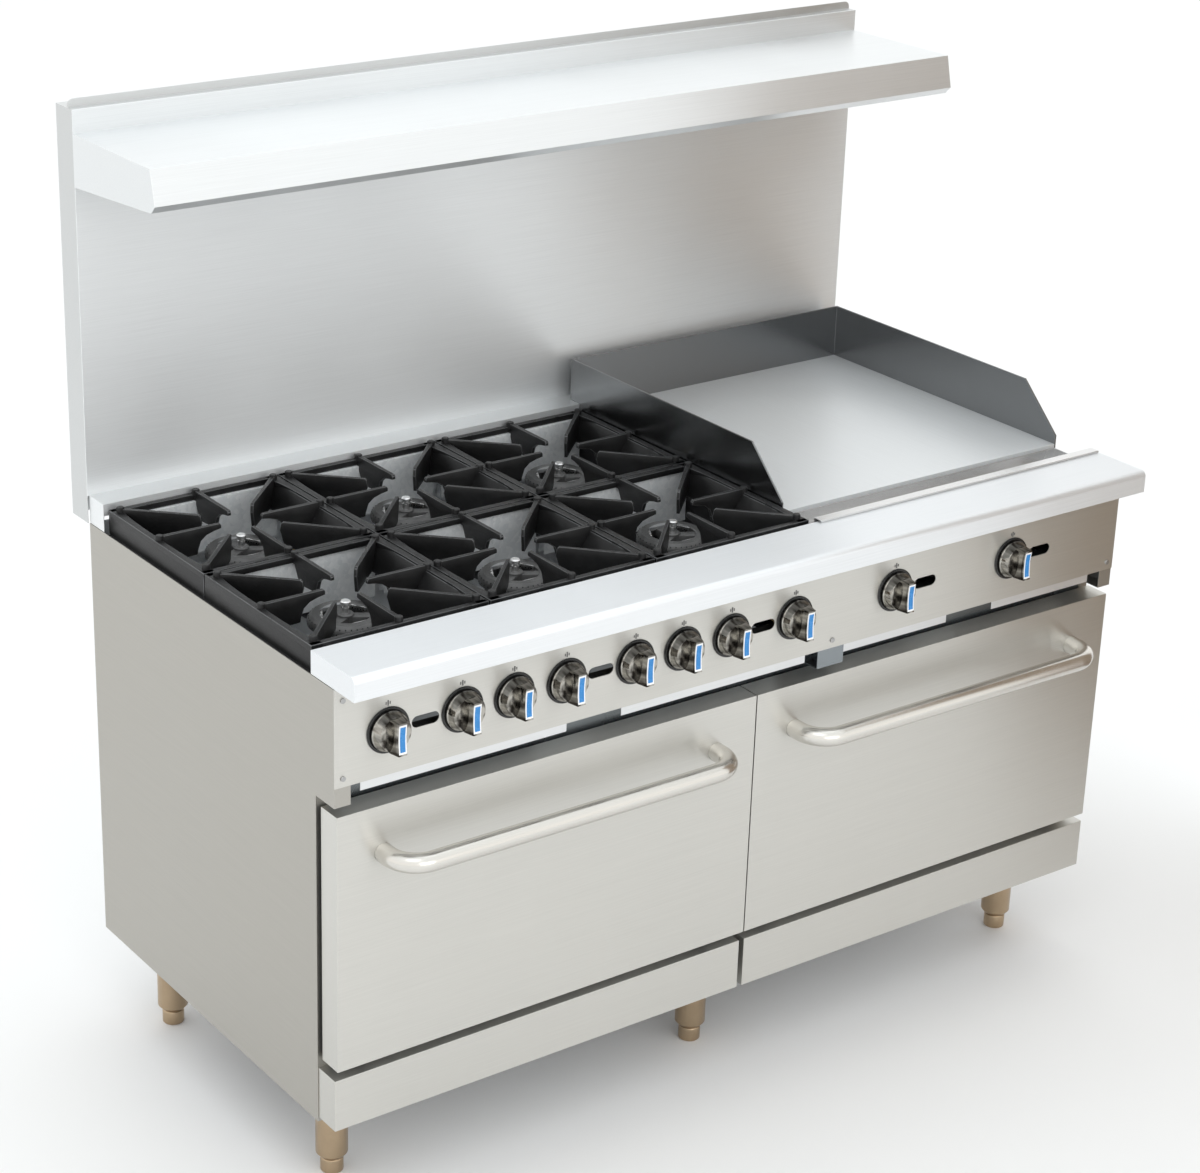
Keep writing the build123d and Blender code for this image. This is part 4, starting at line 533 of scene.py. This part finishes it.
def end_nub(bm, angle, reach, top):
    turn = turned(angle) @ Matrix.Translation((reach, 0, 0))
    profile = [(0.0066, top - 0.011), (0.0062, top - 0.0012), (0.0050, top), (0.0020, top)]
    lathe(bm, profile, 14, turn)


def grates():
    names = [node for node in NODES if node.startswith("grate_")]
    low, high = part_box(names[0])
    size = high - low
    rim_top = high.z - 0.008
    bm = grate_mesh(size.x, size.y, rim_top, high.z, low.z)
    mesh = None
    for node in names:
        place = centre(node)
        place.z = 0
        if mesh is None:
            obj = finished_object(node + "_casting", bm, GRATE_FINISH, BODY_OF_NODE[node], place)
            mesh = obj.data
        else:
            obj = placed_copy(node + "_casting", mesh, BODY_OF_NODE[node], place)
        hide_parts(node)


# ---------------------------------------------------------------- burner heads
def burner_head_mesh():
    """A cast burner head about its own middle, standing on z = 0."""
    bm = bmesh.new()
    outer, inner, height = 0.0565, 0.037, 0.018
    ring = [(inner, 0.0), (outer - 0.004, 0.0), (outer, 0.002), (outer, 0.010), (outer - 0.003, 0.0145),
            (outer - 0.007, height), (inner + 0.002, height), (inner, height - 0.002), (inner, 0.0)]
    lathe(bm, ring, 96, cap_low=False, cap_high=False)
    for i in range(3):
        box(bm, (0.008, inner + 0.004), (-0.0085, 0.0085), (0.001, height - 0.003), 0.0015,
            turned(-30 + 120 * i))
    lathe(bm, [(0.0125, 0.0), (0.0125, height - 0.001),
               (0.011, height + 0.0005), (0.004, height + 0.0005)], 32)
    return bm


def burner_plate_mesh():
    """The flat segment at the back of the head."""
    bm = bmesh.new()
    steps, radius, z_low, z_high = 20, 0.0385, 0.013, 0.0185
    start, end = math.radians(52), math.radians(128)
    arc = [(radius * math.cos(start + (end - start) * i / steps),
            radius * math.sin(start + (end - start) * i / steps)) for i in range(steps + 1)]
    levels = [[bm.verts.new((x, y, z)) for x, y in arc] for z in (z_low, z_high)]
    bm.faces.new(levels[1])
    bm.faces.new(levels[0][::-1])
    for i in range(steps + 1):
        j = (i + 1) % (steps + 1)
        bm.faces.new((levels[0][i], levels[0][j], levels[1][j], levels[1][i]))
    return bm


def port_plates_mesh():
    """Machined inner faces of the head, each with a row of ports."""
    bm = bmesh.new()
    for i in range(3):
        turn = turned(30 + 120 * i)
        box(bm, (0.0335, 0.0375), (-0.016, 0.016), (0.006, 0.0165), 0.0006, turn)
    return bm


def head_ports_mesh():
    """Small near-black discs on the head's sloping shoulder and on its machined faces, painted shade in place
    of open port holes.
    """
    bm = bmesh.new()
    for row, (radius, z, count) in enumerate(((0.0567, 0.0065, 40), (0.0548, 0.0133, 40))):
        for i in range(count):
            around = turned(360 * (i + 0.5 * row) / count)
            turn = around @ Matrix.Translation((radius - 0.0006, 0, z)) @ turned(90, "Y")
            lathe(bm, [(0.0012, 0.0), (0.0010, 0.0007)], 10, turn)
    for i in range(3):
        for offset in (-0.0115, -0.0069, -0.0023, 0.0023, 0.0069, 0.0115):
            turn = turned(30 + 120 * i) @ Matrix.Translation((0.0336, offset, 0.0118)) @ turned(-90, "Y")
            lathe(bm, [(0.0013, 0.0), (0.0012, 0.0003)], 10, turn)
    return bm


def igniter_mesh():
    bm = bmesh.new()
    lathe(bm, [(0.0055, 0.017), (0.0055, 0.027), (0.0035, 0.028), (0.0035, 0.030), (0.0078, 0.031),
               (0.0078, 0.0365), (0.0062, 0.038)], 28)
    return bm


def burner_heads():
    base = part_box("burner_heads")[0].z
    columns = [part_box(f"grate_front_{i}") for i in (1, 2, 3)]
    rows = [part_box("grate_front_1"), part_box("grate_rear_1")]
    pieces = (
        ("head", burner_head_mesh, "burner_head_iron"),
        ("plate", burner_plate_mesh, "burner_plate"),
        ("port_faces", port_plates_mesh, "machined_face"),
        # The ports are painted shade: near-black discs in place of open holes.
        ("ports", head_ports_mesh, "port_dark"),
        ("post", igniter_mesh, "machined_face"),
    )
    first = None
    for label, build, finish in pieces:
        mesh = None
        for column, (column_low, column_high) in enumerate(columns, start=1):
            for row, (row_low, row_high) in zip(("front", "rear"), rows):
                place = ((column_low.x + column_high.x) / 2, (row_low.y + row_high.y) / 2, base)
                name = f"burner_{row}_{column}_{label}"
                if mesh is None:
                    obj = finished_object(name, build(), finish, "range_body", place)
                    mesh = obj.data
                else:
                    obj = placed_copy(name, mesh, "range_body", place)
                first = first or obj
    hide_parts("burner_heads")


# ---------------------------------------------------------------- knobs
FRONT = turned(90, "X")    # turns an upright shape to face the front
END_INLAY = 0.0010         # room for the frame and the insert on the grip's end face
# Half width, half length and lift of the strips in the grip's end face.
FRAME_STRIP = (0.0064, 0.0222, 0.4 * END_INLAY)
INSERT_STRIP = (0.0043, 0.0192, 0.8 * END_INLAY)
MARK_HEIGHT = 0.0415  # the index mark above the knob's axis


def bezel_mesh():
    bm = bmesh.new()
    lathe(bm, [(0.0352, 0.0), (0.0355, 0.0012), (0.0345, 0.0026), (0.0320, 0.0030), (0.0305, 0.0022),
               (0.0060, 0.0022)], 80)
    return bm


def knob_body_mesh(length):
    """Skirt and grip about the knob's axis, standing on z = 0."""
    bm = bmesh.new()
    skirt = 0.017
    lathe(bm, [(0.0285, 0.0), (0.0308, 0.0008), (0.0309, 0.0030), (0.0298, 0.0040), (0.0292, 0.0050),
               (0.0270, skirt - 0.0015), (0.0258, skirt), (0.0040, skirt + 0.0004)], 80)
    grip(bm, skirt - 0.001, length - END_INLAY, 0.0255, 0.011, 0.0072)
    return bm


def grip(bm, low, high, radius, base_half, edge_half):
    """A wedge-shaped bar across the knob with a hollowed end face; local y is the bar's length."""
    steps = 14
    rows = []
    for i in range(steps + 1):
        y = -radius + 2 * radius * i / steps
        hollow = 0.0022 * (1 - (y / radius) ** 2)
        z_end = high - hollow
        rows.append([
            (-base_half, y, low),
            (base_half, y, low),
            (edge_half, y * 0.985, z_end),
            (-edge_half, y * 0.985, z_end),
        ])
    part = bmesh.new()
    verts = [[part.verts.new(p) for p in row] for row in rows]
    for first, second in zip(verts, verts[1:]):
        for k in range(4):
            m = (k + 1) % 4
            part.faces.new((first[k], first[m], second[m], second[k]))
    part.faces.new(verts[0])
    part.faces.new(verts[-1][::-1])
    bmesh.ops.recalc_face_normals(part, faces=part.faces)
    edges = [e for e in part.edges if e.calc_face_angle(0) > 0.7]
    bmesh.ops.bevel(part, geom=edges, offset=0.0009, segments=2, affect="EDGES", profile=0.6)
    merge(bm, part)


def end_strip_mesh(length, half_width, half_length, lift):
    """A thin curved strip that lies in the grip's hollowed end face."""
    bm = bmesh.new()
    steps, radius = 14, 0.0255
    rows = []
    for i in range(steps + 1):
        y = -half_length + 2 * half_length * i / steps
        z = length - END_INLAY - 0.0022 * (1 - (y / radius) ** 2)
        rows.append([(-half_width, y, z - 0.001), (half_width, y, z - 0.001),
                     (half_width, y, z + lift), (-half_width, y, z + lift)])
    verts = [[bm.verts.new(p) for p in row] for row in rows]
    for first, second in zip(verts, verts[1:]):
        for k in range(4):
            m = (k + 1) % 4
            bm.faces.new((first[k], first[m], second[m], second[k]))
    bm.faces.new(verts[0])
    bm.faces.new(verts[-1][::-1])
    return bm


def index_mark_mesh():
    bm = bmesh.new()
    for x, half, tall in ((0.0, 0.0009, 0.0042), (-0.0034, 0.0007, 0.0022), (0.0034, 0.0007, 0.0022)):
        box(bm, (x - half, x + half), (-tall, tall), (0.0, 0.0007), 0.0003)
    return bm


def knobs():
    names = sorted(node for node in NODES if node.startswith("knob_") and node != "knob_bezels")
    bezel_low, bezel_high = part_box("knob_bezels")
    meshes = {}
    for node in names:
        low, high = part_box(node)
        x, z = (low.x + high.x) / 2, (low.z + high.z) / 2
        back = bezel_low.y - 0.0005
        length = back - low.y
        number = node.split("_")[1]
        pieces = (
            ("body", lambda: knob_body_mesh(length), "knob_chrome", (x, back, z),
             BODY_OF_NODE[node], "knob_chrome"),
            ("frame", lambda: end_strip_mesh(length, *FRAME_STRIP), "knob_frame", (x, back, z),
             BODY_OF_NODE[node], "knob_chrome"),
            ("insert", lambda: end_strip_mesh(length, *INSERT_STRIP), "insert_blue", (x, back, z),
             BODY_OF_NODE[node], "insert_blue"),
            ("bezel", bezel_mesh, "bezel_black", (x, bezel_high.y, z), "range_body", "bezel_black"),
            ("mark", index_mark_mesh, "mark_dark", (x, bezel_high.y, z + MARK_HEIGHT),
             "range_body", "bezel_black"),
        )
        for label, build, finish, place, body, slot in pieces:
            name = f"knob_{number}_{label}"
            if label in meshes:
                obj = placed_copy(name, meshes[label], body, place, FRONT)
            else:
                obj = finished_object(name, build(), finish, body, place, FRONT)
                meshes[label] = obj.data
            if label == "body":
                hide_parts(node)
    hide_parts("knob_bezels")


grates()
burner_heads()
knobs()


# ---------------------------------------------------------------- studio
def floor():
    half = 9.0
    mesh = bpy.data.meshes.new("studio_floor")
    mesh.from_pydata([(-half, -half, 0), (half, -half, 0), (half, half, 0), (-half, half, 0)],
                     [], [(0, 1, 2, 3)])
    obj = bpy.data.objects.new("studio_floor", mesh)
    bpy.context.scene.collection.objects.link(obj)
    s = Shader("studio_floor")
    s.set(Roughness=0.8)
    s.feed("Base Color", s.mix(s.noise(0.6, 3.0), (0.83, 0.83, 0.83), (0.86, 0.86, 0.86)))
    mesh.materials.append(s.material)


def soft_light(name, place, aim, size, power, colour=(1, 1, 1)):
    light = bpy.data.lights.new(name, "AREA")
    light.shape = "RECTANGLE"
    light.size, light.size_y = size
    light.energy = power
    light.color = colour
    obj = bpy.data.objects.new(name, light)
    obj.location = place
    obj.rotation_euler = (Vector(aim) - Vector(place)).to_track_quat("-Z", "Y").to_euler()
    bpy.context.scene.collection.objects.link(obj)


def card(name, corner, along, height, tint):
    """An upright card beside the range that shows only as a reflection."""
    mesh = bpy.data.meshes.new(name)
    low, top = Vector(corner), Vector((0, 0, height))
    run = Vector(along)
    mesh.from_pydata([low, low + run, low + run + top, low + top], [], [(0, 1, 2, 3)])
    obj = bpy.data.objects.new(name, mesh)
    bpy.context.scene.collection.objects.link(obj)
    s = Shader(name)
    s.set(Roughness=0.9)
    s.feed("Base Color", s.mix(s.noise(1.4, 3.0), tint, tuple(c * 1.3 for c in tint)))
    mesh.materials.append(s.material)
    obj.visible_camera = False


def world():
    made = bpy.data.worlds.new("studio")
    bpy.context.scene.world = made
    made.use_nodes = True
    nodes, links = made.node_tree.nodes, made.node_tree.links
    direction = nodes.new("ShaderNodeTexCoord").outputs["Generated"]
    split = nodes.new("ShaderNodeSeparateXYZ")
    ramp = nodes.new("ShaderNodeValToRGB")
    links.new(direction, split.inputs[0])
    links.new(split.outputs["Z"], ramp.inputs["Fac"])
    links.new(ramp.outputs["Color"], nodes["Background"].inputs["Color"])
    ramp.color_ramp.elements[0].color = (1.0, 0.985, 0.96, 1)
    ramp.color_ramp.elements[1].color = (0.95, 0.985, 1.0, 1)
    nodes["Background"].inputs["Strength"].default_value = 1.22


def studio():
    floor()
    world()
    middle = (0, 0, 0.8)
    soft_light("key", (-2.2, -2.2, 4.4), middle, (2.6, 2.6), 14)
    soft_light("fill", (-0.6, -5.2, 2.0), middle, (3.4, 2.2), 34)
    soft_light("top", (0.2, 0.4, 4.6), middle, (4.0, 3.0), 16, (0.93, 0.97, 1.0))
    card("tan_card", (1.5, -1.42, 0.0), (0, 1.1, 0), 2.3, (0.20, 0.14, 0.09))


def camera():
    data = bpy.data.cameras.new("camera")
    data.sensor_width = 36.0
    data.lens = 83.93
    data.shift_x, data.shift_y = 0.0841, -0.0292
    obj = bpy.data.objects.new("camera", data)
    obj.location = (-2.5678, -3.3343, 2.4944)
    obj.rotation_euler = Euler([math.radians(a) for a in (67.892, -1.026, -34.481)])
    bpy.context.scene.collection.objects.link(obj)
    bpy.context.scene.camera = obj


studio()
camera()
bpy.context.scene.view_settings.view_transform = "Standard"
